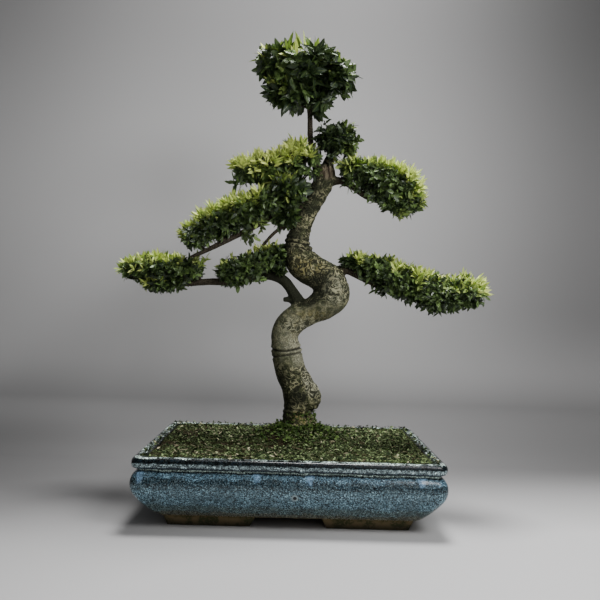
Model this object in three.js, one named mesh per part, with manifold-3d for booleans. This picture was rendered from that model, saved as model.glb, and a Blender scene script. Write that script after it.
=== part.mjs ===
// A Chinese elm bonsai about 0.82 m tall, in a glazed rectangular pot: pot, drain screens, soil,
// the tree's wood, its foliage pads and their young shoots. Millimetres, +Z up.
// The origin lies on the table below the pot's centre; +X is the viewer's right, +Y away from the viewer.
import * as THREE from "three";
import { mergeVertices } from "three/addons/utils/BufferGeometryUtils.js";
import Module from "manifold-3d";

const wasm = await Module();
wasm.setup();

// Pot
const POT_WIDTH = 460;
const POT_DEPTH = 345;
const POT_CORNER = 14;
const FOOT_HEIGHT = 17;
const FOOT_INSET = 39;
const FOOT_BAR = 26;
const FOOT_GAP = { x: 96, y: 90 };
const FOOT_TAPER = { outer: 7, inner: 10, room: 2 };
const FOOT_SUNK = 2;
const FLOOR_TOP = 28;
const DRAIN_RADIUS = 13;
const DRAIN_X = 100;
// Each wall point is [distance inside the rim's outline, height].
const OUTER_WALL = [
  [36, 17], [31, 20], [19, 31], [7, 45], [-1, 58], [-3.5, 70], [-1.5, 80], [3, 86.5], [6, 89],
  [4.5, 91.5], [-0.5, 93.5], [-2, 98], [-1.5, 104], [0.5, 107], [3, 108],
];
const INNER_WALL = [
  [13, 108], [16, 106], [16.5, 94], [9, 82], [6.5, 70], [9, 58], [17, 45], [30, 33], [42, 28],
];
const WALL_THICK = 16.5;

// Drain screens
const SCREEN_SIZE = 46;
const SCREEN_THICK = 1.6;
const SCREEN_CELLS = 3;
const SCREEN_CELL = 9;
const SCREEN_PITCH = 12.8;

// Soil
const SOIL_EDGE_HEIGHT = 102;
const MOUND_HEIGHT = 26;
const MOUND_REACH = 75;
const SOIL_RELIEF = 1.5;
const SOIL_RINGS = 4;
const SOIL_STEPS = { corner: 1, x: 6, y: 4 };
const TREE_FOOT = { x: 15, y: 55 };

// Clearances between pieces that touch
const GAP = 0.35;

// Leaves. A spray is a twig with leaflets along both sides, cut to the rib in one thin arched blade, and
// a leaf is one folded blade. Each kind leans from its lobe's skin by an angle whose cosine lies between
// the two values of lean, and its spots stay the given clearance from the spots of the ones before it.
const SPRAY = {
  length: 46, thickness: 1.9, fold: 0.25, droop: 0.2, sunk: 8.5,
  spacing: 105, lean: [0.4, 0.9], clearance: 8, attempts: 40,
};
const LEAF = {
  length: 34, thickness: 1.8, fold: 0.2, droop: 0.14, sunk: 7.5,
  spacing: 25.5, lean: [0.35, 0.85], clearance: 4, attempts: 20,
};
const YOUNG_SPRAY = { length: 34, narrowing: 0.7 };
const BLADE_REACH = 15;
const BLADE_STRAY = 1.6;
const BLADE_ROLL = 0.9;
const BLADE_LIFT = { way: 0.15, facing: 0.35 };
const LIMB_CLEARANCE = 3;
const CORE_CLEARANCE = 4;
const BARE_BELOW = -0.5;
const SMALLEST_CORE = 8;
const PAD_STEM = 0.6;
const SHOOT_STEM = { root: 2.6, tip: 2, start: 0.45, overlap: 0.08, clear: 1.25, step: 2 };
// The turn in radians from one root to the next that spreads roots evenly over a ball.
const GOLDEN_TURN = 2.39996;

const material = (color, roughness) => new THREE.MeshStandardMaterial({ color, roughness, metalness: 0 });
const glaze = material("#2f5a74", 0.25);
const screenPlastic = material("#1c1d1f", 0.6);
const mossySoil = material("#4f5a22", 0.95);
const bark = material("#8d8672", 0.85);
const matureLeaf = material("#27451c", 0.45);
const youngLeaf = material("#a8bf3f", 0.45);

// Random numbers between 0 and 1, the same ones on every run.
function seeded(seed) {
  let state = seed;
  return () => {
    state = (state + 0x6d2b79f5) | 0;
    let t = Math.imul(state ^ (state >>> 15), 1 | state);
    t = (t + Math.imul(t ^ (t >>> 7), 61 | t)) ^ t;
    return ((t ^ (t >>> 14)) >>> 0) / 4294967296;
  };
}

// A closed geometry as a solid for joins and cuts.
function solidOf(geometry) {
  const bare = geometry.clone();
  bare.deleteAttribute("normal");
  bare.deleteAttribute("uv");
  const merged = mergeVertices(bare, 1e-4);
  return new wasm.Manifold(
    new wasm.Mesh({
      numProp: 3,
      vertProperties: merged.attributes.position.array,
      triVerts: new Uint32Array(merged.index.array),
    }),
  );
}

// A named mesh from a solid. Scraps that a cut has left loose are dropped.
function meshOf(name, solid, finish) {
  const body = solid.decompose().sort((a, b) => b.volume() - a.volume())[0];
  const { vertProperties, triVerts } = body.getMesh();
  const geometry = new THREE.BufferGeometry();
  geometry.setAttribute("position", new THREE.BufferAttribute(vertProperties, 3));
  geometry.setIndex(new THREE.BufferAttribute(triVerts, 1));
  const mesh = new THREE.Mesh(geometry, finish);
  mesh.name = name;
  return mesh;
}

// A closed skin over a stack of rings with equal counts, each anticlockwise seen from the last ring's side.
function loft(rings) {
  const count = rings[0].length;
  const points = rings.flat();
  const index = [];
  for (let r = 0; r + 1 < rings.length; r++) {
    for (let j = 0; j < count; j++) {
      const a = r * count + j;
      const b = r * count + ((j + 1) % count);
      index.push(a, b, b + count, a, b + count, a + count);
    }
  }
  const capped = (ring, start, flip) => {
    const centre = new THREE.Vector3();
    ring.forEach((p) => centre.addScaledVector(p, 1 / count));
    points.push(centre);
    for (let j = 0; j < count; j++) {
      const pair = [start + j, start + ((j + 1) % count)];
      index.push(points.length - 1, ...(flip ? pair.reverse() : pair));
    }
  };
  capped(rings[0], 0, true);
  capped(rings[rings.length - 1], (rings.length - 1) * count, false);
  return new THREE.BufferGeometry().setFromPoints(points).setIndex(index);
}

// A rounded rectangle at one height, anticlockwise from above. Each side has the given number of steps.
function roundedRing(halfX, halfY, radius, z, steps = { corner: 3, x: 1, y: 1 }) {
  const ring = [];
  const corners = [[1, -1, -90], [1, 1, 0], [-1, 1, 90], [-1, -1, 180]];
  corners.forEach(([sx, sy, from], side) => {
    const centre = new THREE.Vector2(sx * (halfX - radius), sy * (halfY - radius));
    for (let k = 0; k <= steps.corner; k++) {
      const angle = THREE.MathUtils.degToRad(from + (90 * k) / steps.corner);
      const [x, y] = [centre.x + radius * Math.cos(angle), centre.y + radius * Math.sin(angle)];
      ring.push(new THREE.Vector3(x, y, z));
    }
    const along = side % 2 ? steps.x : steps.y;
    const [nx, ny] = corners[(side + 1) % 4];
    const start = ring[ring.length - 1];
    const angle = THREE.MathUtils.degToRad(from + 90);
    const end = new THREE.Vector3(nx * (halfX - radius), ny * (halfY - radius), z);
    end.add(new THREE.Vector3(radius * Math.cos(angle), radius * Math.sin(angle), 0));
    for (let k = 1; k < along; k++) ring.push(start.clone().lerp(end, k / along));
  });
  return ring;
}

// The pot's outline at a wall point, grown outwards by a margin.
function potRing([inset, z], margin = 0, steps) {
  const radius = Math.max(5, POT_CORNER - 0.15 * inset);
  return roundedRing(POT_WIDTH / 2 - inset + margin, POT_DEPTH / 2 - inset + margin, radius, z, steps);
}

// A bar from x0 to x1 and y0 to y1 whose four sides lean inwards towards the ground by their own amounts.
function taperedBar(x0, x1, y0, y1, z0, z1, lean) {
  const at = (share, z) => [
    new THREE.Vector3(x0 + lean.x0 * share, y0 + lean.y0 * share, z),
    new THREE.Vector3(x1 - lean.x1 * share, y0 + lean.y0 * share, z),
    new THREE.Vector3(x1 - lean.x1 * share, y1 - lean.y1 * share, z),
    new THREE.Vector3(x0 + lean.x0 * share, y1 - lean.y1 * share, z),
  ];
  return solidOf(loft([at(1, z0), at(0, z1)]));
}

// One corner foot: a bar along each side of the pot, meeting at the corner.
function cornerFoot() {
  const [outX, outY] = [POT_WIDTH / 2 - FOOT_INSET, POT_DEPTH / 2 - FOOT_INSET];
  const top = FOOT_HEIGHT + FOOT_SUNK;
  const { outer, inner, room } = FOOT_TAPER;
  const leanAlong = { x0: inner, x1: outer, y0: room, y1: outer };
  const leanAcross = { x0: room, x1: outer, y0: inner, y1: outer };
  const along = taperedBar(FOOT_GAP.x / 2, outX, outY - FOOT_BAR, outY, 0, top, leanAlong);
  const across = taperedBar(outX - FOOT_BAR, outX, FOOT_GAP.y / 2, outY, 0, top, leanAcross);
  return along.add(across);
}

// The pot: one wall with its floor, a foot under each corner, and two drain holes.
function pot() {
  let body = solidOf(loft([...OUTER_WALL, ...INNER_WALL].map((point) => potRing(point))));
  const foot = cornerFoot();
  for (const sides of [[1, 1], [-1, 1], [-1, -1], [1, -1]]) {
    body = body.add(foot.scale([...sides, 1]));
  }
  for (const x of [-DRAIN_X, DRAIN_X]) {
    const drill = new THREE.CylinderGeometry(DRAIN_RADIUS, DRAIN_RADIUS, 40, 20).rotateX(Math.PI / 2);
    body = body.subtract(solidOf(drill.translate(x, 0, FLOOR_TOP - 10)));
  }
  return meshOf("pot", body, glaze);
}

// A square plate with a grid of square cells cut through it, lying over a drain hole.
function drainScreen(name, x) {
  let plate = solidOf(new THREE.BoxGeometry(SCREEN_SIZE, SCREEN_SIZE, SCREEN_THICK));
  for (let i = 0; i < SCREEN_CELLS; i++) {
    for (let j = 0; j < SCREEN_CELLS; j++) {
      const [cx, cy] = [i, j].map((n) => (n - (SCREEN_CELLS - 1) / 2) * SCREEN_PITCH);
      const cell = new THREE.BoxGeometry(SCREEN_CELL, SCREEN_CELL, 4 * SCREEN_THICK);
      plate = plate.subtract(solidOf(cell.translate(cx, cy, 0)));
    }
  }
  return meshOf(name, plate.translate([x, 0, FLOOR_TOP + SCREEN_THICK / 2]), screenPlastic);
}

// The soil's surface: level at the wall, a mound round the tree's foot and a little relief.
function soilHeight(x, y) {
  const [halfX, halfY] = [POT_WIDTH / 2 - WALL_THICK, POT_DEPTH / 2 - WALL_THICK];
  const edge = Math.max(Math.abs(x) / halfX, Math.abs(y) / halfY);
  const inside = Math.max(0, 1 - edge ** 4);
  const r = Math.hypot(x - TREE_FOOT.x, y - TREE_FOOT.y) / MOUND_REACH;
  const waves = Math.sin(x / 17 + 1) * Math.cos(y / 14) + Math.sin((x + y) / 31);
  return SOIL_EDGE_HEIGHT + inside * (MOUND_HEIGHT * Math.exp(-r * r) + SOIL_RELIEF * (1 + waves));
}

// The soil fills the pot up to its mound, with room left for the drain screens and the tree's foot.
function soil(treeClearance) {
  const walls = INNER_WALL.slice(2).reverse();
  const rings = walls.map(([inset, z]) => potRing([inset, Math.max(z, FLOOR_TOP + GAP)], -GAP, SOIL_STEPS));
  const top = potRing([WALL_THICK, SOIL_EDGE_HEIGHT], -GAP, SOIL_STEPS);
  for (let k = SOIL_RINGS; k >= 1; k--) {
    const share = k / SOIL_RINGS;
    const inner = top.map((p) => p.clone().multiplyScalar(share));
    rings.push(inner.map(({ x, y }) => new THREE.Vector3(x, y, soilHeight(x, y))));
  }
  let body = solidOf(loft(rings));
  for (const x of [-DRAIN_X, DRAIN_X]) {
    const [wide, high] = [SCREEN_SIZE + 2 * GAP, 2 * (SCREEN_THICK + GAP)];
    const pocket = new THREE.BoxGeometry(wide, wide, high);
    body = body.subtract(solidOf(pocket.translate(x, 0, FLOOR_TOP)));
  }
  return meshOf("soil", body.subtract(treeClearance), mossySoil);
}

// Each limb is a row of [x, y, z, radius] from its root to its tip.
const TRUNK = [
  [15, 55, 64, 30], [15, 55, 100, 36], [15, 55, 120, 34], [13, 55, 135, 27.5], [10, 55, 147, 24],
  [12, 55, 158, 25], [14, 55, 171, 27.5], [13, 54, 186, 29], [8, 53, 200, 28], [-1, 52, 216, 27],
  [-8, 49, 240, 27], [-12, 48, 262, 27], [-15, 47, 277, 24.3], [-14, 46, 290, 24.6], [-6, 44, 306, 25],
  [9, 42, 319, 24], [30, 38, 330, 23], [50, 35, 342, 27], [64, 34, 359, 31.5], [60, 36, 382, 29.5],
  [41, 40, 395, 27.5], [24, 43, 404, 28.5], [9, 46, 416, 28.5], [2, 48, 436, 26], [2, 48, 453, 21],
  [6, 47, 468, 17.5], [12, 46, 486, 16], [20, 45, 503, 15], [28, 44, 519, 15], [36, 43, 535, 16],
  [43, 42, 552, 18], [47, 41, 570, 19], [48, 40, 588, 15],
];
// A burl on the right of the trunk's foot.
const BURL = [
  [25, 54, 154, 8], [27, 54, 160, 19], [27, 54, 167, 25], [26, 54, 176, 26.5], [23, 54, 186, 25],
  [17, 54, 197, 20],
];
const BRANCHES = {
  crownLeader: [
    [38, 41, 566, 12], [31, 40, 588, 8], [24, 38, 608, 6], [20, 36, 635, 5.2], [18, 33, 674, 4.8],
    [14, 31, 703, 4], [9, 30, 735, 2.8],
  ],
  sideBallStub: [[47, 41, 570, 13], [54, 38, 594, 10], [62, 34, 612, 7], [68, 31, 630, 4.5]],
  leftLow: [
    [15, 40, 334, 13], [3, 42, 351, 11], [-8, 44, 368, 9.6], [-20, 45, 382, 9.6],
    [-40, 46, 389, 8], [-66, 47, 390, 7.2], [-97, 48, 382, 6.8], [-125, 49, 377, 6.7],
    [-157, 51, 376, 6.4], [-192, 54, 372, 5.4], [-229, 57, 372, 4.4], [-263, 60, 377, 3.5],
    [-290, 62, 380, 2.4],
  ],
  prunedKnob: [[2, 42, 342, 7], [-10, 41, 348, 5], [-20, 40, 348, 4.5]],
  leftMiddle: [
    [23, 45, 514, 9.5], [2, 42, 513, 6.8], [-25, 38, 501, 5.8], [-54, 34, 486, 5.4], [-90, 30, 465, 5.3],
    [-130, 26, 443, 5], [-166, 23, 424, 4], [-183, 22, 417, 2.8],
  ],
  leftMiddleTwig1: [[-50, 34, 488, 4.4], [-55, 34, 500, 3.6], [-59, 34, 513, 2.6]],
  leftMiddleTwig2: [[-86, 31, 467, 4.4], [-93, 31, 482, 3.6], [-99, 30, 496, 2.6]],
  leftMiddleTwig3: [[-124, 27, 446, 4.2], [-133, 27, 460, 3.4], [-140, 26, 474, 2.4]],
  leftMiddleTwig4: [[-158, 24, 428, 3.6], [-166, 23, 438, 3], [-172, 22, 451, 2.2]],
  leftTwig: [
    [8, 46, 479, 6], [-15, 40, 480, 3.8], [-34, 37, 469, 3.4], [-55, 36, 446, 3.2], [-70, 38, 424, 2.4],
  ],
  leftTop: [
    [28, 43, 538, 8], [4, 40, 558, 5.6], [-23, 38, 568, 4.4], [-58, 36, 573, 3.5], [-93, 34, 578, 2.4],
  ],
  rightTop: [
    [41, 42, 546, 13], [60, 40, 559, 8.5], [78, 36, 559, 6.5], [97, 32, 549, 5.9], [115, 28, 535, 5.3],
    [137, 25, 525, 4.6], [165, 22, 522, 3.8], [190, 20, 528, 2.6],
  ],
  rightLow: [
    [48, 38, 390, 13], [73, 34, 402, 8.2], [90, 29, 401, 6.4], [109, 21, 392, 5.8],
    [132, 13, 381, 5.3], [167, 1, 370, 4.7], [205, -12, 361, 4.1], [245, -24, 357, 3.4],
    [280, -34, 359, 2.7], [303, -40, 366, 2.1],
  ],
};
const ROOTS = {
  right: [[22, 54, 128, 19], [44, 51, 119, 12], [66, 47, 106, 6]],
  left: [[8, 57, 126, 18], [-12, 62, 116, 11], [-32, 68, 103, 6]],
  front: [[12, 46, 126, 18], [4, 26, 116, 11], [-4, 4, 103, 6]],
  frontRight: [[20, 48, 126, 17], [36, 30, 116, 10], [50, 12, 103, 5]],
  back: [[18, 64, 126, 18], [26, 84, 116, 11], [34, 106, 102, 6]],
};

// A limb's path with its radius, sampled about every `spacing` mm.
function stations(rows, spacing) {
  const points = rows.map(([x, y, z]) => new THREE.Vector3(x, y, z));
  const curve = new THREE.CatmullRomCurve3(points, false, "centripetal");
  const spans = rows.length - 1;
  const found = [];
  rows.forEach((row, i) => {
    if (i === spans) return;
    const next = rows[i + 1];
    const steps = Math.max(1, Math.round(points[i].distanceTo(points[i + 1]) / spacing));
    for (let k = 0; k < steps; k++) {
      const share = k / steps;
      const ease = share * share * (3 - 2 * share);
      found.push({ point: curve.getPoint((i + share) / spans), radius: row[3] + (next[3] - row[3]) * ease });
    }
  });
  found.push({ point: curve.getPoint(1), radius: rows[spans][3] });
  found.forEach((s, i) => {
    const before = found[Math.max(0, i - 1)].point;
    const after = found[Math.min(found.length - 1, i + 1)].point;
    s.tangent = after.clone().sub(before).normalize();
  });
  return found;
}

// A limb's closed skin: rings square to the path, carried along it without twist and slightly fluted.
function limb(rows, sides, spacing, flute = 0.05, margin = 0) {
  let side = new THREE.Vector3(0, 1, 0);
  const rings = stations(rows, spacing).map(({ point, radius, tangent }, i) => {
    side = side.clone().addScaledVector(tangent, -side.dot(tangent)).normalize();
    const other = new THREE.Vector3().crossVectors(tangent, side);
    return Array.from({ length: sides }, (_, j) => {
      const angle = (2 * Math.PI * j) / sides;
      const fluting = flute * (Math.cos(2 * angle + 0.5 * i) + Math.sin(3 * angle - 0.7 * i));
      const r = radius * (1 + fluting) + margin;
      const spoke = side.clone().multiplyScalar(Math.cos(angle)).addScaledVector(other, Math.sin(angle));
      return point.clone().addScaledVector(spoke, r);
    });
  });
  return solidOf(loft(rings));
}

// All the wood above and in the soil, grown together, with its surface moved outwards by a margin.
function wood(margin) {
  const pieces = [limb(TRUNK, 12, 17, 0.04, margin), limb(BURL, 8, 12, 0.04, margin)];
  Object.values(BRANCHES).forEach((rows) => pieces.push(limb(rows, 6, 28, 0.04, margin)));
  Object.values(ROOTS).forEach((rows) => pieces.push(limb(rows, 6, 30, 0.06, margin)));
  return wasm.Manifold.union(pieces);
}

// Foliage. Each pad is a cluster of lobes, out to the leaf tips:
// [x, y, z, half width, half depth, half height].
const PADS = {
  crown: [
    [5, 30, 749, 79, 78, 56], [-43, 26, 757, 42, 50, 45], [62, 30, 738, 42, 50, 44],
    [-10, 30, 708, 56, 50, 38],
  ],
  side_ball: [[68, 30, 628, 44, 40, 34]],
  left_top: [
    [-90, 34, 576, 34, 44, 29], [-52, 36, 576, 42, 52, 36], [-4, 38, 593, 34, 48, 41],
    [21, 18, 598, 22, 24, 22],
  ],
  left_middle: [
    [-174, 22, 455, 36, 40, 32], [-141, 26, 480, 41, 50, 38], [-98, 30, 502, 46, 58, 37],
    [-56, 34, 517, 40, 56, 34],
  ],
  centre: [[-22, 38, 543, 42, 54, 30], [-16, 42, 498, 36, 38, 36]],
  left_low_outer: [
    [-285, 61, 397, 36, 36, 28], [-241, 58, 398, 44, 48, 34], [-193, 54, 397, 38, 42, 30],
    [-236, 57, 370, 44, 32, 20],
  ],
  left_low_inner: [[-110, 48, 393, 39, 42, 33], [-74, 46, 404, 42, 50, 36], [-37, 45, 421, 34, 38, 35]],
  right_top: [
    [94, 34, 581, 30, 36, 26], [143, 28, 567, 45, 50, 37], [182, 22, 553, 44, 48, 38],
    [184, 20, 522, 46, 42, 32],
  ],
  right_low: [
    [104, 24, 417, 30, 30, 20], [148, 10, 399, 42, 44, 34], [193, -6, 379, 46, 50, 38],
    [238, -22, 365, 46, 50, 40], [281, -34, 366, 43, 44, 36],
  ],
};

// Young shoots: the pad each grows from, its tip, and the way it points.
const SHOOTS = [
  ["crown", [-70, 26, 776], [-0.8, -0.2, 0.5]],
  ["crown", [-24, 30, 786], [-0.2, -0.1, 1]],
  ["left_top", [-108, 30, 590], [-0.9, -0.2, 0.5]],
  ["left_top", [-10, 34, 625], [-0.2, -0.2, 1]],
  ["left_middle", [-168, 20, 490], [-0.6, -0.2, 0.8]],
  ["left_middle", [-195, 16, 460], [-1, -0.2, 0.3]],
  ["left_low_outer", [-300, 60, 404], [-1, 0, 0.4]],
  ["left_low_outer", [-256, 52, 420], [-0.2, -0.2, 1]],
  ["right_top", [152, 22, 592], [0.2, -0.2, 1]],
  ["right_top", [207, 14, 545], [1, -0.2, 0.3]],
  ["right_low", [302, -42, 382], [1, -0.2, 0.4]],
  ["right_low", [158, 4, 420], [0, -0.2, 1]],
];

// One lobe as a lumpy ball, its radii changed by a margin.
function lobeSolid([x, y, z, ...reach], margin) {
  const radii = coreRadii(reach, margin);
  const detail = Math.max(...reach) > 55 ? 2 : 1;
  const facets = new THREE.OctahedronGeometry(1, detail).deleteAttribute("normal").deleteAttribute("uv");
  const ball = mergeVertices(facets);
  const at = ball.getAttribute("position");
  for (let i = 0; i < at.count; i++) {
    const p = new THREE.Vector3().fromBufferAttribute(at, i);
    const lump = 1 + 0.09 * Math.sin(5 * p.x + x) * Math.cos(4 * p.y + z) + 0.05 * Math.sin(7 * p.z + y);
    at.setXYZ(i, x + p.x * radii[0] * lump, y + p.y * radii[1] * lump, z + p.z * radii[2] * lump);
  }
  return solidOf(ball);
}

// The dense middle of a lobe is smaller than its reach, because the blades stand out of it.
function coreRadii(reach, margin = 0) {
  return reach.map((r) => Math.max(SMALLEST_CORE, r - BLADE_REACH) + margin);
}

// A pad's core: its lobes, strung together in their order by a thick stem of foliage.
function padCore(lobes, margin) {
  const pieces = lobes.map((lobe) => lobeSolid(lobe, margin));
  for (let i = 0; i + 1 < lobes.length; i++) {
    const rows = [lobes[i], lobes[i + 1]].map(([x, y, z, ...reach]) => {
      return [x, y, z, PAD_STEM * Math.min(...coreRadii(reach, margin))];
    });
    pieces.push(limb(rows, 5, 200));
  }
  return wasm.Manifold.union(pieces);
}

// How far a point is from a lobe's middle, as a share of the core's radii.
function depthIn(lobe, point, margin = 0) {
  const radii = coreRadii(lobe.slice(3), margin);
  const [u, v, w] = point.toArray().map((value, axis) => (value - lobe[axis]) / radii[axis]);
  return Math.hypot(u, v, w);
}

// One edge of a spray, as shares of its length: a notch at the twig, then a leaflet's shoulder, tip and
// next notch, the same for a second leaflet, and the end leaflet's shoulder.
const SPRAY_EDGE = [
  [0.18, 0.03], [0.2, 0.23], [0.4, 0.44], [0.39, 0.045],
  [0.44, 0.26], [0.66, 0.41], [0.62, 0.04], [0.76, 0.13],
];
// The rib stands up from the blade at two points of the twig and in the end leaflet.
const SPRAY_RIB = [[0.28, 0], [0.5, 0], [0.76, 0]];

// A spray along +X with its face up and its tip drooping. Its underside is plain, its top rises to the rib.
function sprayGeometry(length, narrowing = 1) {
  const at = ([x, y], rise) => {
    const height = SPRAY.fold * Math.abs(y) - SPRAY.droop * x * x;
    return new THREE.Vector3(x * length, y * narrowing * length, height * length + rise);
  };
  const right = SPRAY_EDGE.map(([x, y]) => [x, -y]);
  const left = [...SPRAY_EDGE].reverse();
  const outline = [[0, 0], ...right, [1, 0], ...left].map((p) => at(p, 0));
  const points = outline.concat(SPRAY_RIB.map((p) => at(p, SPRAY.thickness)));
  const [base, tip, rib1, rib2, rib3] = [0, 9, 18, 19, 20];
  const R = (i) => 1 + i;
  const L = (i) => 17 - i;
  const index = [];
  for (const [a, b, c, d, rib] of [
    [R(0), R(1), R(2), R(3), rib1],
    [R(3), R(4), R(5), R(6), rib2],
    [L(3), L(2), L(1), L(0), rib1],
    [L(6), L(5), L(4), L(3), rib2],
  ]) {
    index.push(rib, a, b, rib, b, c, rib, c, d);
    index.push(a, d, b, b, d, c);
  }
  const endEdge = [R(6), R(7), tip, L(7), L(6), rib2];
  endEdge.forEach((a, i) => index.push(rib3, a, endEdge[(i + 1) % 6]));
  index.push(R(6), L(7), R(7), R(7), L(7), tip, R(6), L(6), L(7));
  index.push(rib1, base, R(0), rib1, L(0), base, rib1, R(3), rib2, rib2, L(3), rib1);
  index.push(base, L(0), R(0), R(0), L(3), R(3), R(0), L(0), L(3), R(3), L(6), R(6), R(3), L(3), L(6));
  return new THREE.BufferGeometry().setFromPoints(points).setIndex(index);
}

// A leaf along +X, folded up on both sides of its midrib, with its tip drooping.
const LEAF_SHOULDER = [0.45, 0.27];
function leafGeometry(length) {
  const [along, half] = LEAF_SHOULDER;
  const rise = LEAF.fold * half - LEAF.droop * along * along;
  const shape = [[0, 0, 0], [along, -half, rise], [1, 0, -LEAF.droop], [along, half, rise]];
  const points = shape.map(([x, y, z]) => new THREE.Vector3(x, y, z).multiplyScalar(length));
  points.push(new THREE.Vector3(along * length, 0, LEAF.thickness - LEAF.droop * along * along * length));
  const index = [4, 0, 1, 4, 1, 2, 4, 2, 3, 4, 3, 0, 0, 2, 1, 0, 3, 2];
  return new THREE.BufferGeometry().setFromPoints(points).setIndex(index);
}

// The points of a leaf that are kept clear of its neighbours.
function leafSpots(length, matrix) {
  const [along, half] = LEAF_SHOULDER;
  const spots = [[along, -half], [along, half], [0.7, 0], [1, 0]];
  return spots.map(([x, y]) => new THREE.Vector3(x * length, y * length, 0).applyMatrix4(matrix));
}

// Points spread over a spray, in its own place.
function spraySpots(length, matrix, narrowing = 1) {
  const edge = SPRAY_EDGE.slice(1, 6);
  const spots = [...edge, ...edge.map(([u, v]) => [u, -v]), [0.8, 0], [1, 0]];
  const inPlace = ([u, v]) => new THREE.Vector3(u * length, v * narrowing * length, 0);
  return spots.map((spot) => inPlace(spot).applyMatrix4(matrix));
}

// Where a blade stands: its root, the way it points, and the side that its face is turned to.
function bladeMatrix(root, way, facing, roll) {
  const along = way.clone().normalize();
  const across = facing.clone().cross(along).normalize().applyAxisAngle(along, roll);
  const up = new THREE.Vector3().crossVectors(along, across);
  return new THREE.Matrix4().makeBasis(along, across, up).setPosition(root);
}

const placed = []; // points on the blades that stand already
const woodStations = [TRUNK, ...Object.values(BRANCHES)].flatMap((rows) => stations(rows, 8));

// A blade is kept where it stays clear of the ones before it, of the limbs and of other pads' cores.
function standsClear(spots, pad, clearance) {
  return spots.every((p) => {
    if (placed.some((q) => p.distanceTo(q) < clearance)) return false;
    if (woodStations.some((s) => p.distanceTo(s.point) < s.radius + LIMB_CLEARANCE)) return false;
    const otherLobes = Object.keys(PADS).filter((name) => name !== pad).flatMap((name) => PADS[name]);
    return !otherLobes.some((lobe) => depthIn(lobe, p, CORE_CLEARANCE) < 1);
  });
}

// A young shoot: a thin stem out of its pad that opens, once it is clear of it, into a narrow spray.
function shootParts(pad, tip, way) {
  const end = new THREE.Vector3(...tip);
  const ahead = new THREE.Vector3(...way).normalize();
  while (PADS[pad].some((lobe) => depthIn(lobe, end) < SHOOT_STEM.clear)) {
    end.addScaledVector(ahead, SHOOT_STEM.step);
  }
  const lobe = PADS[pad].reduce((best, l) => (depthIn(l, end) < depthIn(best, end) ? l : best));
  const start = new THREE.Vector3(...lobe).lerp(end, SHOOT_STEM.start);
  const rows = [[...start.toArray(), SHOOT_STEM.root], [...end.toArray(), SHOOT_STEM.tip]];
  const { length, narrowing } = YOUNG_SPRAY;
  const root = end.clone().addScaledVector(ahead, -SHOOT_STEM.overlap * length);
  const matrix = bladeMatrix(root, ahead, new THREE.Vector3(0.3 * ahead.z, -1, 0.6), 0);
  placed.push(...spraySpots(length, matrix, narrowing));
  const spray = solidOf(sprayGeometry(length, narrowing).applyMatrix4(matrix));
  return { solid: limb(rows, 5, 60).add(spray), stemClearance: limb(rows, 5, 60, 0.05, GAP) };
}

// Blades of one kind on a pad: roots spread evenly over each lobe's core, each blade leaning away from it
// with its face turned out. Few grow on its underside.
function padBlades(name, core, others, random, kind, geometryOf, spotsOf, before) {
  const blades = [];
  for (const lobe of PADS[name]) {
    const [x, y, z, ...reach] = lobe;
    const radii = coreRadii(reach);
    const area = (4 * Math.PI * (radii[0] * radii[1] + radii[1] * radii[2] + radii[0] * radii[2])) / 3;
    const count = Math.ceil(area / (0.75 * kind.spacing * kind.spacing));
    for (let i = 0; i < count; i++) {
      const height = 1 - (2 * i + 1) / count;
      const turn = i * GOLDEN_TURN + x;
      const level = Math.sqrt(1 - height * height);
      const unit = new THREE.Vector3(level * Math.cos(turn), level * Math.sin(turn), height);
      const root = new THREE.Vector3(x + unit.x * radii[0], y + unit.y * radii[1], z + unit.z * radii[2]);
      if (PADS[name].some((other) => other !== lobe && depthIn(other, root) < 0.97)) continue;
      if (height < BARE_BELOW && i % 3) continue;
      const outward = new THREE.Vector3(unit.x / radii[0], unit.y / radii[1], unit.z / radii[2]).normalize();
      for (let attempt = 0; attempt < kind.attempts; attempt++) {
        const stray = new THREE.Vector3(random() - 0.5, random() - 0.5, random() - 0.5);
        const way = outward.clone().addScaledVector(stray, BLADE_STRAY);
        way.z += BLADE_LIFT.way;
        way.normalize();
        if (way.dot(outward) < kind.lean[0] || way.dot(outward) > kind.lean[1]) continue;
        const length = kind.length * (0.8 + 0.3 * random());
        const facing = outward.clone();
        facing.z += BLADE_LIFT.facing;
        const start = root.clone().addScaledVector(way, -kind.sunk);
        const matrix = bladeMatrix(start, way, facing, BLADE_ROLL * (random() - 0.5));
        const spots = spotsOf(length, matrix);
        if (!standsClear(spots, name, kind.clearance)) continue;
        const blade = solidOf(geometryOf(length).applyMatrix4(matrix));
        const free = blade.subtract(core);
        if (blade.intersect(others).volume() > 0) continue;
        if ([...before, ...blades].some((other) => free.intersect(other).volume() > 0)) continue;
        placed.push(...spots);
        blades.push(blade);
        break;
      }
    }
  }
  return blades;
}

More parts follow.
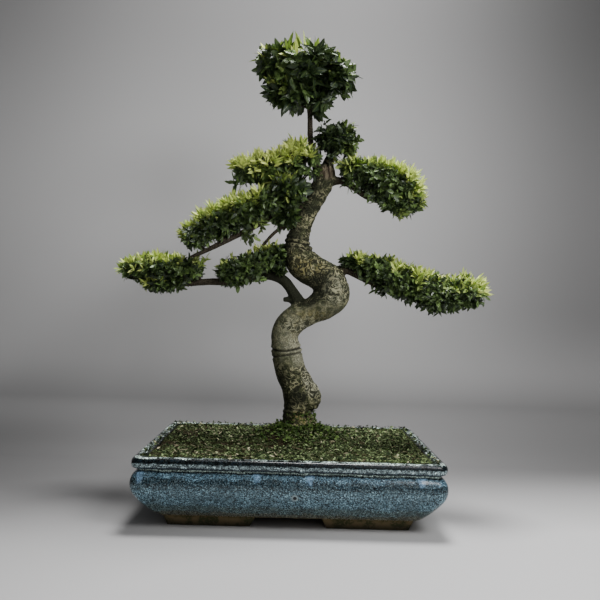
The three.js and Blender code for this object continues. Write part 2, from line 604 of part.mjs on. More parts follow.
// The young shoots, then the pads: each stays clear of the wood and of the pieces made before it.
function foliage(woodClearance) {
  const random = seeded(41);
  const meshes = [];
  const stems = {};
  const counts = {};
  const cores = {};
  for (const [name, lobes] of Object.entries(PADS)) cores[name] = padCore(lobes, 0);
  let standing = woodClearance;
  for (const [pad, tip, way] of SHOOTS) {
    counts[pad] = (counts[pad] || 0) + 1;
    const { solid, stemClearance } = shootParts(pad, tip, way);
    meshes.push(meshOf(`young_shoot_${pad}_${counts[pad]}`, solid.subtract(woodClearance), youngLeaf));
    (stems[pad] ||= []).push(stemClearance);
    standing = standing.add(solid);
  }
  const coresBefore = [];
  for (const [name, lobes] of Object.entries(PADS)) {
    const otherCores = Object.keys(cores).filter((other) => other !== name).map((other) => cores[other]);
    const others = wasm.Manifold.union([standing, ...otherCores]);
    const sprays = padBlades(name, cores[name], others, random, SPRAY, sprayGeometry, spraySpots, []);
    const leaves = padBlades(name, cores[name], others, random, LEAF, leafGeometry, leafSpots, sprays);
    let pad = wasm.Manifold.union([cores[name], ...sprays, ...leaves]).subtract(woodClearance);
    for (const cut of [...(stems[name] || []), ...coresBefore]) pad = pad.subtract(cut);
    coresBefore.push(padCore(lobes, GAP));
    standing = standing.add(pad);
    meshes.push(meshOf(`foliage_${name}`, pad, matureLeaf));
  }
  return meshes;
}

const woodClearance = wood(GAP);
const bonsai = new THREE.Group();
bonsai.add(
  pot(),
  drainScreen("drain_screen_left", -DRAIN_X),
  drainScreen("drain_screen_right", DRAIN_X),
  soil(woodClearance),
  meshOf("tree_wood", wood(0), bark),
  ...foliage(woodClearance),
);

export default bonsai;
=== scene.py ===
"""The looks of a Chinese elm bonsai in a glazed pot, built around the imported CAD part.

Lengths are in millimetres until a mesh is made, which is in metres. The tree's limbs and the foliage lobes
repeat the CAD part's own rows, because this script can't read its source.
"""

import math

import bpy
import numpy as np
from mathutils import Matrix, Vector


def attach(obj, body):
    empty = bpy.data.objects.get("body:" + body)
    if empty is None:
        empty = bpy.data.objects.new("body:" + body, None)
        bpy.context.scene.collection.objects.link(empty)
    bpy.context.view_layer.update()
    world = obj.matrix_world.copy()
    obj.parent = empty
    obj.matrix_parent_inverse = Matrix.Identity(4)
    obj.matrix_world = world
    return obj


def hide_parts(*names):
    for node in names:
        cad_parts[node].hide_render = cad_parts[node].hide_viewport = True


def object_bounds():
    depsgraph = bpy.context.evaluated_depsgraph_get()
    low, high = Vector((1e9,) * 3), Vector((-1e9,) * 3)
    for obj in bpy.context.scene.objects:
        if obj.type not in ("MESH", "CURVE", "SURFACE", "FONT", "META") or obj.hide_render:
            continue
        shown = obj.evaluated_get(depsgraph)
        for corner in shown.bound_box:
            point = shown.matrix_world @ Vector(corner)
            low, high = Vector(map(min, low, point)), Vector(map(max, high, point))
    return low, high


bl_info = {
    "name": "Chinese elm bonsai",
    "version": (1, 0, 0),
    "blender": (4, 5, 0),
    "location": "View3D > Sidebar > Bonsai",
    "description": "Builds the bark, foliage, glazed pot, moss and studio around the bonsai's CAD frame",
    "category": "Add Mesh",
}

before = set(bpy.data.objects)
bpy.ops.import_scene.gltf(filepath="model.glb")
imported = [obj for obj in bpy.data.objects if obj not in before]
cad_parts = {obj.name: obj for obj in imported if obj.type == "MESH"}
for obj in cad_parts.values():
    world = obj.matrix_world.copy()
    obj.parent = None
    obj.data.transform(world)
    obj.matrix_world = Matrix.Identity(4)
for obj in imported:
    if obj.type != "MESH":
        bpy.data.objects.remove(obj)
CAD_BOX = [list(corner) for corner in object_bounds()]
MM = 0.001
GOLDEN_TURN = math.pi * (3 - math.sqrt(5))

# The tree's limbs, each a row of [x, y, z, radius] from its root to its tip.
TRUNK = [
    [15, 55, 64, 30], [15, 55, 100, 36], [15, 55, 120, 34], [13, 55, 135, 27.5], [10, 55, 147, 24],
    [12, 55, 158, 25], [14, 55, 171, 27.5], [13, 54, 186, 29], [8, 53, 200, 28], [-1, 52, 216, 27],
    [-8, 49, 240, 27], [-12, 48, 262, 27], [-15, 47, 277, 24.3], [-14, 46, 290, 24.6], [-6, 44, 306, 25],
    [9, 42, 319, 24], [30, 38, 330, 23], [50, 35, 342, 27], [64, 34, 359, 31.5], [60, 36, 382, 29.5],
    [41, 40, 395, 27.5], [24, 43, 404, 28.5], [9, 46, 416, 28.5], [2, 48, 436, 26], [2, 48, 453, 21],
    [6, 47, 468, 17.5], [12, 46, 486, 16], [20, 45, 503, 15], [28, 44, 519, 15], [36, 43, 535, 16],
    [43, 42, 552, 18], [47, 41, 570, 19], [48, 40, 588, 15],
]
# A burl on the right of the trunk's foot.
BURL = [
    [25, 54, 154, 8], [27, 54, 160, 19], [27, 54, 167, 25], [26, 54, 176, 26.5], [23, 54, 186, 25],
    [17, 54, 197, 20],
]
BRANCHES = {
    "crown_leader": [
        [38, 41, 566, 12], [31, 40, 588, 8], [24, 38, 608, 6], [20, 36, 635, 5.2], [18, 33, 674, 4.8],
        [14, 31, 703, 4], [9, 30, 735, 2.8],
    ],
    "side_stub": [[47, 41, 570, 13], [54, 38, 594, 10], [62, 34, 612, 7], [68, 31, 630, 4.5]],
    "left_low": [
        [15, 40, 334, 13], [3, 42, 351, 11], [-8, 44, 368, 9.6], [-20, 45, 382, 9.6], [-40, 46, 389, 8],
        [-66, 47, 390, 7.2], [-97, 48, 382, 6.8], [-125, 49, 377, 6.7], [-157, 51, 376, 6.4],
        [-192, 54, 372, 5.4], [-229, 57, 372, 4.4], [-263, 60, 377, 3.5], [-290, 62, 380, 2.4],
    ],
    "pruned_knob": [[2, 42, 342, 7], [-10, 41, 348, 5], [-20, 40, 348, 4.5]],
    "left_middle": [
        [23, 45, 514, 9.5], [2, 42, 513, 6.8], [-25, 38, 501, 5.8], [-54, 34, 486, 5.4], [-90, 30, 465, 5.3],
        [-130, 26, 443, 5], [-166, 23, 424, 4], [-183, 22, 417, 2.8],
    ],
    "left_middle_1": [[-50, 34, 488, 4.4], [-55, 34, 500, 3.6], [-59, 34, 513, 2.6]],
    "left_middle_2": [[-86, 31, 467, 4.4], [-93, 31, 482, 3.6], [-99, 30, 496, 2.6]],
    "left_middle_3": [[-124, 27, 446, 4.2], [-133, 27, 460, 3.4], [-140, 26, 474, 2.4]],
    "left_middle_4": [[-158, 24, 428, 3.6], [-166, 23, 438, 3], [-172, 22, 451, 2.2]],
    "left_twig": [
        [8, 46, 479, 6], [-15, 40, 480, 3.8], [-34, 37, 469, 3.4], [-55, 36, 446, 3.2], [-70, 38, 424, 2.4],
    ],
    "left_top": [
        [28, 43, 538, 8], [4, 40, 558, 5.6], [-23, 38, 568, 4.4], [-58, 36, 573, 3.5], [-93, 34, 578, 2.4],
    ],
    "right_top": [
        [41, 42, 546, 13], [60, 40, 559, 8.5], [78, 36, 559, 6.5], [97, 32, 549, 5.9], [115, 28, 535, 5.3],
        [137, 25, 525, 4.6], [165, 22, 522, 3.8], [190, 20, 528, 2.6],
    ],
    "right_low": [
        [48, 38, 390, 13], [73, 34, 402, 8.2], [90, 29, 401, 6.4], [109, 21, 392, 5.8], [132, 13, 381, 5.3],
        [167, 1, 370, 4.7], [205, -12, 361, 4.1], [245, -24, 357, 3.4], [280, -34, 359, 2.7],
        [303, -40, 366, 2.1],
    ],
}
ROOTS = {
    "right": [[22, 54, 128, 19], [44, 51, 119, 12], [66, 47, 106, 6]],
    "left": [[8, 57, 126, 18], [-12, 62, 116, 11], [-32, 68, 103, 6]],
    "front": [[12, 46, 126, 18], [4, 26, 116, 11], [-4, 4, 103, 6]],
    "front_right": [[20, 48, 126, 17], [36, 30, 116, 10], [50, 12, 103, 5]],
    "back": [[18, 64, 126, 18], [26, 84, 116, 11], [34, 106, 102, 6]],
}
# Ring scars round the trunk: x0, z0, slope, sag and depth.
RING_SCARS = [
    [-12, 259, 0.09, 4, 1.0], [-12, 251, 0.2, 0, 0.75], [12, 155, 0.0, 0, 0.6], [12, 148, 0.05, 0, 0.4],
    [2, 447, -0.1, 0, 0.9], [2, 455, -0.15, 0, 0.7], [4, 438, -0.1, 0, 0.6], [8, 470, -0.2, 0, 0.5],
]
# Marks on the bark, seen from the front or the back: strength, middle's x and z, half width, half height.
# The pale marks are worn bark with a painted highlight on the elbow's and the burl's lit right sides.
PALE_MARKS = [[0.5, 70, 366, 22, 28], [0.9, 36, 196, 12, 16], [0.7, 24, 214, 8, 14], [0.35, 48, 178, 8, 14]]
WARM_MARKS = [
    [0.75, 22, 402, 32, 17], [0.3, -8, 416, 20, 20], [0.5, 34, 322, 34, 9], [0.3, 4, 290, 10, 24],
    [1, 18, 142, 18, 14],
]
GRIME_MARKS = [[1, 26, 360, 17, 26], [0.9, 8, 178, 13, 14], [0.6, 10, 346, 26, 8]]
SPECKLED_GRIME_MARKS = [[1.1, 43, 368, 17, 19], [0.8, 52, 386, 20, 16]]
DEAD_MARKS = [[1, 52, 572, 12, 13]]
# Each pad: its lobes as [x, y, z, half width, half depth, half height] out to the leaf tips, the limbs
# that carry it, the way its new growth faces and how much of it there is, its leaves' length and width as
# a share of it, the mean tone of its mature leaves from dark (0) to light (1), its longest young shoots as
# [tip, way], and stray sprigs as [tip, way, how young].
PADS = {
    "crown": {
        "lobes": [
            [5, 30, 749, 76, 78, 56], [-43, 26, 757, 42, 50, 45], [60, 30, 742, 42, 50, 42],
            [-10, 30, 708, 56, 50, 38],
        ],
        "limbs": ["crown_leader"], "growth": [-0.5, -0.1, 0.85], "youth": 0.5, "leaf": [21, 0.5],
        "tone": 0.15,
        "shoots": [[[-70, 26, 776], [-0.8, -0.2, 0.5]], [[-24, 30, 786], [-0.2, -0.1, 1]]],
        "sprigs": [
            [[42, 10, 785], [0.4, -0.2, 0.9], 0.3], [[73, 12, 759], [0.9, -0.2, 0.4], 0.7],
            [[49, 14, 685], [0.3, -0.2, -0.9], 0], [[32, 16, 678], [0, -0.2, -1], 0],
            [[-59, 14, 694], [-0.8, -0.2, -0.4], 0],
        ],
    },
    "side_ball": {
        "lobes": [[68, 30, 628, 44, 40, 34]],
        "limbs": ["side_stub"], "growth": [0.9, 0, 0.3], "youth": 0.05, "leaf": [14, 0.52], "tone": -0.25,
        "shoots": [],
        "sprigs": [
            [[99, 20, 643], [1, 0, 0.3], 0.2], [[96, 18, 618], [1, -0.2, -0.3], 0.2],
            [[44, 16, 651], [-0.6, -0.2, 0.7], 0], [[71, 22, 660], [0, -0.2, 1], 0],
            [[89, 18, 600], [0.5, -0.2, -0.7], 0.2], [[24, 18, 634], [-1, -0.2, 0.1], 0],
            [[34, 18, 612], [-0.8, -0.2, -0.6], 0], [[105, 18, 630], [1, -0.2, 0], 0.1],
            [[58, 18, 598], [-0.2, -0.2, -1], 0], [[86, 20, 655], [0.4, -0.2, 0.9], 0.2],
        ],
    },
    "left_top": {
        "lobes": [
            [-90, 34, 576, 34, 44, 29], [-52, 36, 576, 42, 52, 36], [-4, 38, 593, 34, 48, 41],
            [21, 18, 598, 22, 24, 22],
        ],
        # Its high youth and tone partly paint the light on this pad, which they make lighter than the others.
        "limbs": ["left_top"], "growth": [-0.6, -0.3, 0.8], "youth": 1.25, "leaf": [14.5, 0.46],
        "tone": 0.62,
        "shoots": [[[-108, 30, 590], [-0.9, -0.2, 0.5]], [[-10, 34, 625], [-0.2, -0.2, 1]]],
        "sprigs": [
            [[0, 20, 628], [-0.2, -0.2, 1], 1], [[21, 14, 564], [0, -0.6, -0.4], 0],
            [[-88, 14, 551], [-0.3, -0.2, -0.8], 0], [[-111, 18, 549], [-0.8, -0.2, -0.4], 0],
        ],
    },
    "left_middle": {
        "lobes": [
            [-174, 22, 455, 36, 40, 32], [-141, 26, 480, 41, 50, 38], [-98, 30, 502, 46, 58, 37],
            [-56, 34, 517, 40, 56, 34],
        ],
        "limbs": ["left_middle", "left_middle_1", "left_middle_2", "left_middle_3", "left_middle_4"],
        "growth": [-0.7, -0.3, 0.7], "youth": 0.8, "leaf": [13.5, 0.46], "tone": 0.26,
        "shoots": [[[-168, 20, 490], [-0.6, -0.2, 0.8]], [[-195, 16, 460], [-1, -0.2, 0.3]]],
        "sprigs": [
            [[-60, 14, 468], [0, -0.3, -0.8], 0.2], [[-98, 14, 469], [0, -0.3, -0.8], 0],
            [[-76, 14, 442], [0.2, -0.3, -0.6], 0.1],
        ],
    },
    "centre": {
        "lobes": [[-22, 38, 543, 42, 54, 30], [-16, 42, 498, 36, 38, 36]],
        "limbs": ["left_top", "left_middle", "left_twig"],
        "growth": [-0.3, -0.3, 0.9], "youth": 0.4, "leaf": [18.5, 0.5], "tone": 0.2,
        "shoots": [],
        "sprigs": [[[11, 14, 527], [0.3, -0.6, -0.3], 0]],
    },
    "left_low_outer": {
        "lobes": [
            [-285, 61, 397, 36, 36, 28], [-241, 58, 398, 44, 48, 34], [-193, 54, 397, 38, 42, 30],
            [-236, 57, 370, 44, 32, 20],
        ],
        "limbs": ["left_low"], "growth": [-0.6, -0.2, 0.8], "youth": 0.7, "leaf": [12.5, 0.48], "tone": 0.2,
        "shoots": [[[-300, 60, 404], [-1, 0, 0.4]], [[-256, 52, 420], [-0.2, -0.2, 1]]],
        "sprigs": [[[-161, 40, 419], [0.5, -0.2, 0.6], 0.6], [[-193, 40, 369], [0, -0.2, -1], 0]],
    },
    "left_low_inner": {
        "lobes": [[-110, 48, 393, 39, 42, 33], [-74, 46, 404, 42, 50, 36], [-37, 45, 421, 34, 38, 35]],
        "limbs": ["left_low"], "growth": [-0.6, -0.2, 0.8], "youth": 0.2, "leaf": [12.5, 0.5], "tone": 0.2,
        "shoots": [],
        "sprigs": [[[-103, 30, 369], [-0.2, -0.2, -1], 0], [[-22, 28, 399], [0.6, -0.4, 0.2], 0]],
    },
    "right_top": {
        "lobes": [
            [94, 34, 581, 30, 36, 26], [143, 28, 567, 45, 50, 37], [182, 22, 553, 44, 48, 38],
            [184, 20, 522, 46, 42, 32],
        ],
        "limbs": ["right_top"], "growth": [0.6, -0.2, 0.75], "youth": 0.95, "leaf": [13.5, 0.46],
        "tone": 0.34,
        "shoots": [[[152, 22, 592], [0.2, -0.2, 1]], [[207, 14, 545], [1, -0.2, 0.3]]],
        "sprigs": [
            [[180, 6, 583], [0.5, -0.2, 0.9], 1], [[156, 2, 511], [0, -0.2, -1], 0],
            [[183, 2, 496], [0.3, -0.2, -0.9], 0.2], [[71, 16, 583], [-0.5, -0.4, 0], 0.6],
            [[90, 8, 551], [0, -0.6, -0.3], 0], [[108, 8, 540], [0, -0.6, -0.3], 0],
            [[124, 6, 528], [0, -0.5, -0.5], 0], [[138, 4, 516], [0, -0.4, -0.6], 0],
        ],
    },
    "right_low": {
        "lobes": [
            [104, 24, 417, 30, 30, 20], [148, 10, 399, 42, 44, 34], [193, -6, 379, 46, 50, 38],
            [238, -22, 365, 46, 50, 40], [281, -34, 366, 43, 44, 36],
        ],
        "limbs": ["right_low"], "growth": [0.6, -0.2, 0.8], "youth": 0.8, "leaf": [12.5, 0.48], "tone": 0.2,
        "shoots": [[[302, -42, 382], [1, -0.2, 0.4]], [[158, 4, 420], [0, -0.2, 1]]],
        "sprigs": [
            [[147, 0, 361], [-0.2, -0.2, -1], 0], [[184, -8, 352], [0, -0.2, -1], 0],
            [[213, -14, 344], [0, -0.2, -1], 0], [[244, -20, 335], [0, -0.2, -1], 0],
            [[270, -26, 336], [0.1, -0.2, -1], 0],
        ],
    },
}

# The pot's wall, each point [distance inside the rim's outline, height], and its feet.
POT_HALF = (230, 172.5)
POT_CORNER = 14
OUTER_WALL = [
    [36, 17], [31, 20], [19, 31], [7, 45], [-1, 58], [-3.5, 70], [-1.5, 80], [3, 86.5], [6, 89],
    [4.5, 91.5], [-0.5, 93.5], [-2, 98], [-1.5, 104], [0.5, 107], [3, 108],
]
INNER_WALL = [
    [13, 108], [16, 106], [16.5, 94], [9, 82], [6.5, 70], [9, 58], [17, 45], [30, 33], [42, 28],
]
FOOT = {"inset": 39, "bar": 26, "gap": (48, 45), "height": 19, "outer": 7, "inner": 10, "room": 2}
DRAIN = {"x": 100, "radius": 13, "from": 5, "to": 45}
WALL_STEPS = 430
CORNER_DENSITY = 2.5
# Where glaze has run from under the rim: along the wall, its lowest point, its half width at the top.
GLAZE_RUNS = [[-218, 73, 4], [-48, 77, 3.5], [30, 75, 4], [193, 76, 4]]
RUNS_FROM = 88
# The glaze's bands from the foot up: each colour's name in the pot's settings, and the heights where it
# starts and ends. Between two bands the colours blend.
GLAZE_BANDS = [
    ["glaze_foot", 17, 25], ["glaze_low", 27, 36], ["glaze_wall", 41, 62], ["glaze_shade", 68],
    ["glaze_navy", 72, 79.3], ["glaze_speckle", 82, 86.3], ["glaze_dark", 87.6, 88.6],
    # The aqua bands are pale glaze and partly painted highlight: a glint along the rim's top and a lit line
    # in the shaded groove below the rim.
    ["glaze_aqua", 89.6, 90.8], ["glaze_dark", 92, 94.6], ["glaze_edge", 96, 99.6],
    ["glaze_black", 101.6, 107.9], ["glaze_aqua", 108.2, 109],
]
# The height that the bands' colour ramp covers.
GLAZE_REACH = 120
# The glaze's grains: size, the level from which a grain is pale, and how much brighter that makes it.
GLAZE_GRAINS = [[1.4, 0.74, 1.5], [0.75, 0.7, 1.25]]
# A pinhole in the front's glaze, across and up in metres.
PINHOLE = (0.0085, 0.056)

SOIL_EDGE_HEIGHT = 102
MOUND = {"x": 15, "y": 55, "height": 26, "reach": 75}
SOIL_HALF = (213.5, 156)
MOSS_STEPS = 360
CRUMBS = 6600
LIP_CRUMBS = 900
LITTER = 330
CLIMBING_WEEDS = 460
STREWN_WEEDS = 380
WEEDS_FROM = 118
# Where along its length a blade of each kind has a left edge, a midrib and a right edge.
OVAL_LEAF = (0.22, 0.55, 0.87)
SMALL_LEAF = (0.3, 0.78)
LANCE_LEAF = (0.3, 0.66)
FLAKE = (0.45,)
LEAF_THICK = 0.35
SHOOT_LEAVES = 8
# How young a shoot is from which its leaves count as new growth.
YOUNG_FROM = 0.35

# The sweep behind the pot: how far it reaches to each side and in front, where its bend starts, the bend's
# radius and how high it goes.
SWEEP = {"reach": 3500.0, "bend_y": 330.0, "radius": 120.0, "top": 4200.0}
# Each light: its name, its place and its target in metres, its size and the setting with its power.
LIGHTS = [
    ["top", (0.15, 0.1, 1.9), (0.05, 0.05, 0), 0.5, "top_power"],
    ["front", (0.6, -0.8, 0.95), (0.4, -0.45, 0), 0.4, "front_power"],
    ["fill", (0.9, -2.2, 1.4), (0, 0, 0.3), 1.8, "fill_power"],
]
LENS = 42
SENSOR_WIDTH = 36
# The camera's turn in degrees: to the side, up from level and about its own axis.
CAMERA_TURN = (-0.45, 1.21, 1.6)


# Numbers


def unit(vectors):
    """Each vector divided by its length."""
    return vectors / np.maximum(np.linalg.norm(vectors, axis=-1, keepdims=True), 1e-9)


def ease(value, low, high):
    """0 below low, 1 above high, and 3t^2 - 2t^3 between them."""
    t = np.clip((value - low) / (high - low), 0, 1)
    return t * t * (3 - 2 * t)


def lattice(cells, seed):
    """A number from 0 to 1 for each whole-numbered point: a hash of its three coordinates."""
    number = cells[..., 0] * 374761393 + cells[..., 1] * 668265263 + cells[..., 2] * 1440662683
    number = (number + seed * 1274126177) & 0xFFFFFFFF
    number = ((number ^ (number >> 13)) * 1274126177) & 0xFFFFFFFF
    return ((number ^ (number >> 16)) & 0xFFFFFF) / float(0xFFFFFF)


def noise(points, size, seed):
    """Smooth noise from -1 to 1: random values at the corners of cells of that size, eased between them."""
    place = points / size + 512
    base = np.floor(place).astype(np.int64)
    share = place - base
    share = share * share * (3 - 2 * share)
    total = np.zeros(place.shape[:-1])
    for corner in np.ndindex(2, 2, 2):
        weight = np.where(np.array(corner), share, 1 - share).prod(-1)
        total += weight * lattice(base + np.array(corner), seed)
    return 2 * total - 1


def layered_noise(points, size, seed, layers=3):
    """Noise with finer and weaker layers on it: each has half the size and half the strength of the last."""
    total = sum(noise(points, size / 2**k, seed + k) / 2**k for k in range(layers))
    return total / (2 - 2.0 ** (1 - layers))


def cell_distance(points, size, seed):
    """How far each point is from the nearest of one random point per cell, in cells."""
    place = points / size + 512
    base = np.floor(place).astype(np.int64)
    found = np.full(place.shape[:-1], 9.0)
    for step in np.ndindex(3, 3, 3):
        cell = base + np.array(step) - 1
        middle = np.stack([cell[..., k] + lattice(cell, seed + 7 * k) for k in range(3)], -1)
        found = np.minimum(found, np.linalg.norm(middle - place, axis=-1))
    return found


def spread_directions(count, turn):
    """Directions spread evenly over a ball: equal steps in height, each turned on by the golden angle."""
    height = 1 - (2 * np.arange(count) + 1) / count
    level = np.sqrt(1 - height**2)
    angle = GOLDEN_TURN * np.arange(count) + turn
    return np.stack([level * np.cos(angle), level * np.sin(angle), height], -1)


# Paths and skins


def limb_path(rows, spacing):
    """Points about every spacing along a centripetal Catmull-Rom curve through the rows, with eased radii."""
    rows = np.array(rows, float)
    knots = rows[:, :3]
    ends = [2 * knots[:1] - knots[1:2], knots, 2 * knots[-1:] - knots[-2:-1]]
    knots = np.concatenate(ends)
    points, radii = [], []
    for i in range(len(rows) - 1):
        p0, p1, p2, p3 = knots[i : i + 4]
        d0, d1, d2 = (math.sqrt(np.linalg.norm(b - a)) for a, b in ((p0, p1), (p1, p2), (p2, p3)))
        start = ((p1 - p0) / d0 - (p2 - p0) / (d0 + d1) + (p2 - p1) / d1) * d1
        stop = ((p2 - p1) / d1 - (p3 - p1) / (d1 + d2) + (p3 - p2) / d2) * d1
        steps = max(1, round(np.linalg.norm(p2 - p1) / spacing))
        t = (np.arange(steps + (i == len(rows) - 2)) / steps)[:, None]
        cubic = p1 + start * t + (3 * (p2 - p1) - 2 * start - stop) * t**2
        points.append(cubic + (2 * (p1 - p2) + start + stop) * t**3)
        radii.append(rows[i, 3] + (rows[i + 1, 3] - rows[i, 3]) * ease(t[:, 0], 0, 1))
    return np.concatenate(points), np.concatenate(radii)


def carried_frames(path):
    """Two directions square to a path at each of its points, carried along it without twist."""
    ahead = unit(np.gradient(path, axis=0))
    side = np.array([0.0, 1.0, 0.0])
    sides = []
    for direction in ahead:
        side = unit(side - direction * (side @ direction))
        sides.append(side)
    sides = np.array(sides)
    return sides, np.cross(ahead, sides)


def grid_faces(rows, columns):
    """The quads of a grid that closes on itself along its columns."""
    start = np.arange(rows - 1)[:, None] * columns
    here = np.arange(columns)[None, :]
    after = (here + 1) % columns
    quads = [start + here, start + after, start + columns + after, start + columns + here]
    return np.stack(quads, -1).reshape(-1, 4)


def end_fans(rows, columns):
    """The two fans that close such a grid, each round one of the two points that follow its own."""
    here = np.arange(columns)
    after = (here + 1) % columns
    last = (rows - 1) * columns
    first_fan = np.stack([np.full(columns, rows * columns), after, here], -1)
    last_fan = np.stack([np.full(columns, rows * columns + 1), last + here, last + after], -1)
    return np.concatenate([first_fan, last_fan])


def closed_skin(rings):
    """Rings (rows x columns x 3) joined in order, and closed at both ends by a fan to the ring's middle."""
    rows, columns = rings.shape[:2]
    points = np.concatenate([rings.reshape(-1, 3), rings[:1].mean(1), rings[-1:].mean(1)])
    return points, [grid_faces(rows, columns), end_fans(rows, columns)]


def repeated(faces, count, size):
    """The faces of many like parts that follow each other, where each part has size points."""
    start = (np.arange(count) * size)[:, None, None]
    return [(array[None] + start).reshape(-1, array.shape[1]) for array in faces if len(array)]


def tube(rows, spacing, sides, flute):
    """A limb's skin: circles square to its path, their radius fluted by two and three soft ridges that wind
    slowly along it."""
    path, radii = limb_path(rows, spacing)
    side, other = carried_frames(path)
    angle = 2 * math.pi * np.arange(sides) / sides
    along = np.arange(len(path))[:, None] * spacing / 17
    ridges = np.cos(2 * angle + 0.5 * along) + np.sin(3 * angle - 0.7 * along)
    radius = radii[:, None] * (1 + flute * ridges)
    spoke = side[:, None] * np.cos(angle)[None, :, None] + other[:, None] * np.sin(angle)[None, :, None]
    return closed_skin(path[:, None] + spoke * radius[..., None])


def merged(skins):
    """Several skins (points, faces) as one, each face array keeping its number of corners."""
    points, faces, start = [], {3: [], 4: []}, 0
    for skin_points, skin_faces in skins:
        for array in skin_faces:
            faces[array.shape[1]].append(array + start)
        points.append(skin_points)
        start += len(skin_points)
    return np.concatenate(points), [np.concatenate(found) for found in faces.values() if found]


def new_mesh(name, points, faces):
    """A mesh of points in millimetres and faces (arrays of point numbers)."""
    mesh = bpy.data.meshes.new(name)
    corners = np.concatenate([array.ravel() for array in faces])
    counts = np.concatenate([np.full(len(array), array.shape[1]) for array in faces])
    mesh.vertices.add(len(points))
    mesh.vertices.foreach_set("co", (points * MM).astype(np.float32).ravel())
    mesh.loops.add(len(corners))
    mesh.loops.foreach_set("vertex_index", corners.astype(np.int32))
    mesh.polygons.add(len(counts))
    mesh.polygons.foreach_set("loop_start", (np.cumsum(counts) - counts).astype(np.int32))
    mesh.update(calc_edges=True)
    return mesh


def placed(name, data):
    """A new object in the scene."""
    made = bpy.data.objects.new(name, data)
    bpy.context.scene.collection.objects.link(made)
    return made


def make_piece(name, points, faces, material, slot, replaces=(), values=None, uv=None, sharp=None):
    """A piece of the bonsai: its mesh, its values per point, its UV per face corner and its finish."""
    mesh = new_mesh(name, points, faces)
    mesh.shade_smooth()
    if sharp:
        mesh.set_sharp_from_angle(angle=math.radians(sharp))
    for key, value in (values or {}).items():
        column = mesh.attributes.new(key, "FLOAT", "POINT")
        column.data.foreach_set("value", np.asarray(value, np.float32))
    if uv is not None:
        mesh.uv_layers.new(name="leaf").uv.foreach_set("vector", uv.astype(np.float32).ravel())
    mesh.materials.append(material)
    piece = placed(name, mesh)
    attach(piece, "root")
    if replaces:
        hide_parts(*replaces)


def column_of(items, key, width, kind):
    """One property of all of a mesh's items, as a flat array."""
    values = np.empty(len(items) * width, kind)
    items.foreach_get(key, values)
    return values


def evaluated(points, faces, add_modifiers):
    """The points and faces of a mesh after the modifiers that add_modifiers puts on it. That function
    gives back the objects that they need."""
    work = placed("work", new_mesh("work", points, faces))
    helpers = add_modifiers(work)
    shape = work.evaluated_get(bpy.context.evaluated_depsgraph_get()).data
    found = column_of(shape.vertices, "co", 3, np.float32).reshape(-1, 3).astype(float) / MM
    corners = column_of(shape.loops, "vertex_index", 1, np.int32)
    starts = column_of(shape.polygons, "loop_start", 1, np.int32)
    counts = np.diff(np.append(starts, len(corners)))
    faces = [corners[starts[counts == n][:, None] + np.arange(n)] for n in np.unique(counts)]
    for thing in [work, *helpers]:
        bpy.data.objects.remove(thing)
    return found, faces


def relaxed(points, faces, rounds):
    """Each point moved half of the way to its neighbours' mean, over and over."""
    start = np.concatenate([array.ravel() for array in faces])
    stop = np.concatenate([np.roll(array, -1, axis=1).ravel() for array in faces])
    degree = np.maximum(np.bincount(start, minlength=len(points)), 1)
    for _ in range(rounds):
        mean = [np.bincount(start, points[stop, k], len(points)) / degree for k in range(3)]
        points = points + 0.5 * (np.stack(mean, -1) - points)
    return points


def point_normals(points, faces):
    """Each point's normal: the sum of its faces' normals, which are crosses of their diagonals."""
    total = np.zeros_like(points)
    for array in faces:
        a, b, c, d = (array[:, k] for k in (0, 1, 2, -1))
        normal = np.cross(points[c] - points[a], points[d] - points[b])
        if array.shape[1] == 3:
            normal = np.cross(points[b] - points[a], points[c] - points[a])
        for corner in array.T:
            for k in range(3):
                total[:, k] += np.bincount(corner, normal[:, k], len(points))
    return unit(total)


def nearest(points, targets):
    """For each point, which target is nearest and how far it is, worked out in slices of some thousands."""
    index = np.empty(len(points), int)
    squares = (targets**2).sum(-1)
    for start in range(0, len(points), 4000):
        part = slice(start, start + 4000)
        index[part] = np.argmin(squares - 2 * points[part] @ targets.T, axis=1)
    return index, np.linalg.norm(points - targets[index], axis=-1)


# Material nodes


def node(tree, kind, inputs=None, **settings):
    """A shader node with its settings, and its inputs either linked or set."""
    made = tree.nodes.new("ShaderNode" + kind)
    for key, value in settings.items():
        setattr(made, key, value)
    for key, value in (inputs or {}).items():
        if isinstance(value, bpy.types.NodeSocket):
            tree.links.new(value, made.inputs[key])
        else:
            made.inputs[key].default_value = value
    return made


def opaque(colour):
    """A link as it is, or three numbers as a colour with full cover."""
    return colour if isinstance(colour, bpy.types.NodeSocket) else (*colour, 1)


def mixed(tree, share, low, high):
    """A colour between two: low where share is 0 and high where it is 1."""
    return node(tree, "Mix", {0: share, 6: opaque(low), 7: opaque(high)}, data_type="RGBA").outputs[2]


def reckon(tree, operation, first, second=0.0):
    """One sum of two values."""
    return node(tree, "Math", {0: first, 1: second}, operation=operation).outputs[0]


def times(tree, first, second):
    """The product of two values."""
    return reckon(tree, "MULTIPLY", first, second)


def plus(tree, first, second):
    """The total of two values."""
    return reckon(tree, "ADD", first, second)


def minus(tree, first, second):
    """The first value less the second."""
    return reckon(tree, "SUBTRACT", first, second)


def eased(tree, value, low, high, start=0.0, stop=1.0):
    """A value's smooth step from start to stop as it goes from low to high."""
    inputs = {"Value": value, "From Min": low, "From Max": high, "To Min": start, "To Max": stop}
    return node(tree, "MapRange", inputs, interpolation_type="SMOOTHSTEP").outputs[0]


def attribute(tree, name):
    """One of the mesh's own values."""
    return node(tree, "Attribute", attribute_name=name).outputs["Fac"]


def object_place(tree):
    """The Object coordinates as one vector, and then its X, Y and Z."""
    place = node(tree, "TexCoord").outputs["Object"]
    return place, *node(tree, "SeparateXYZ", {0: place}).outputs


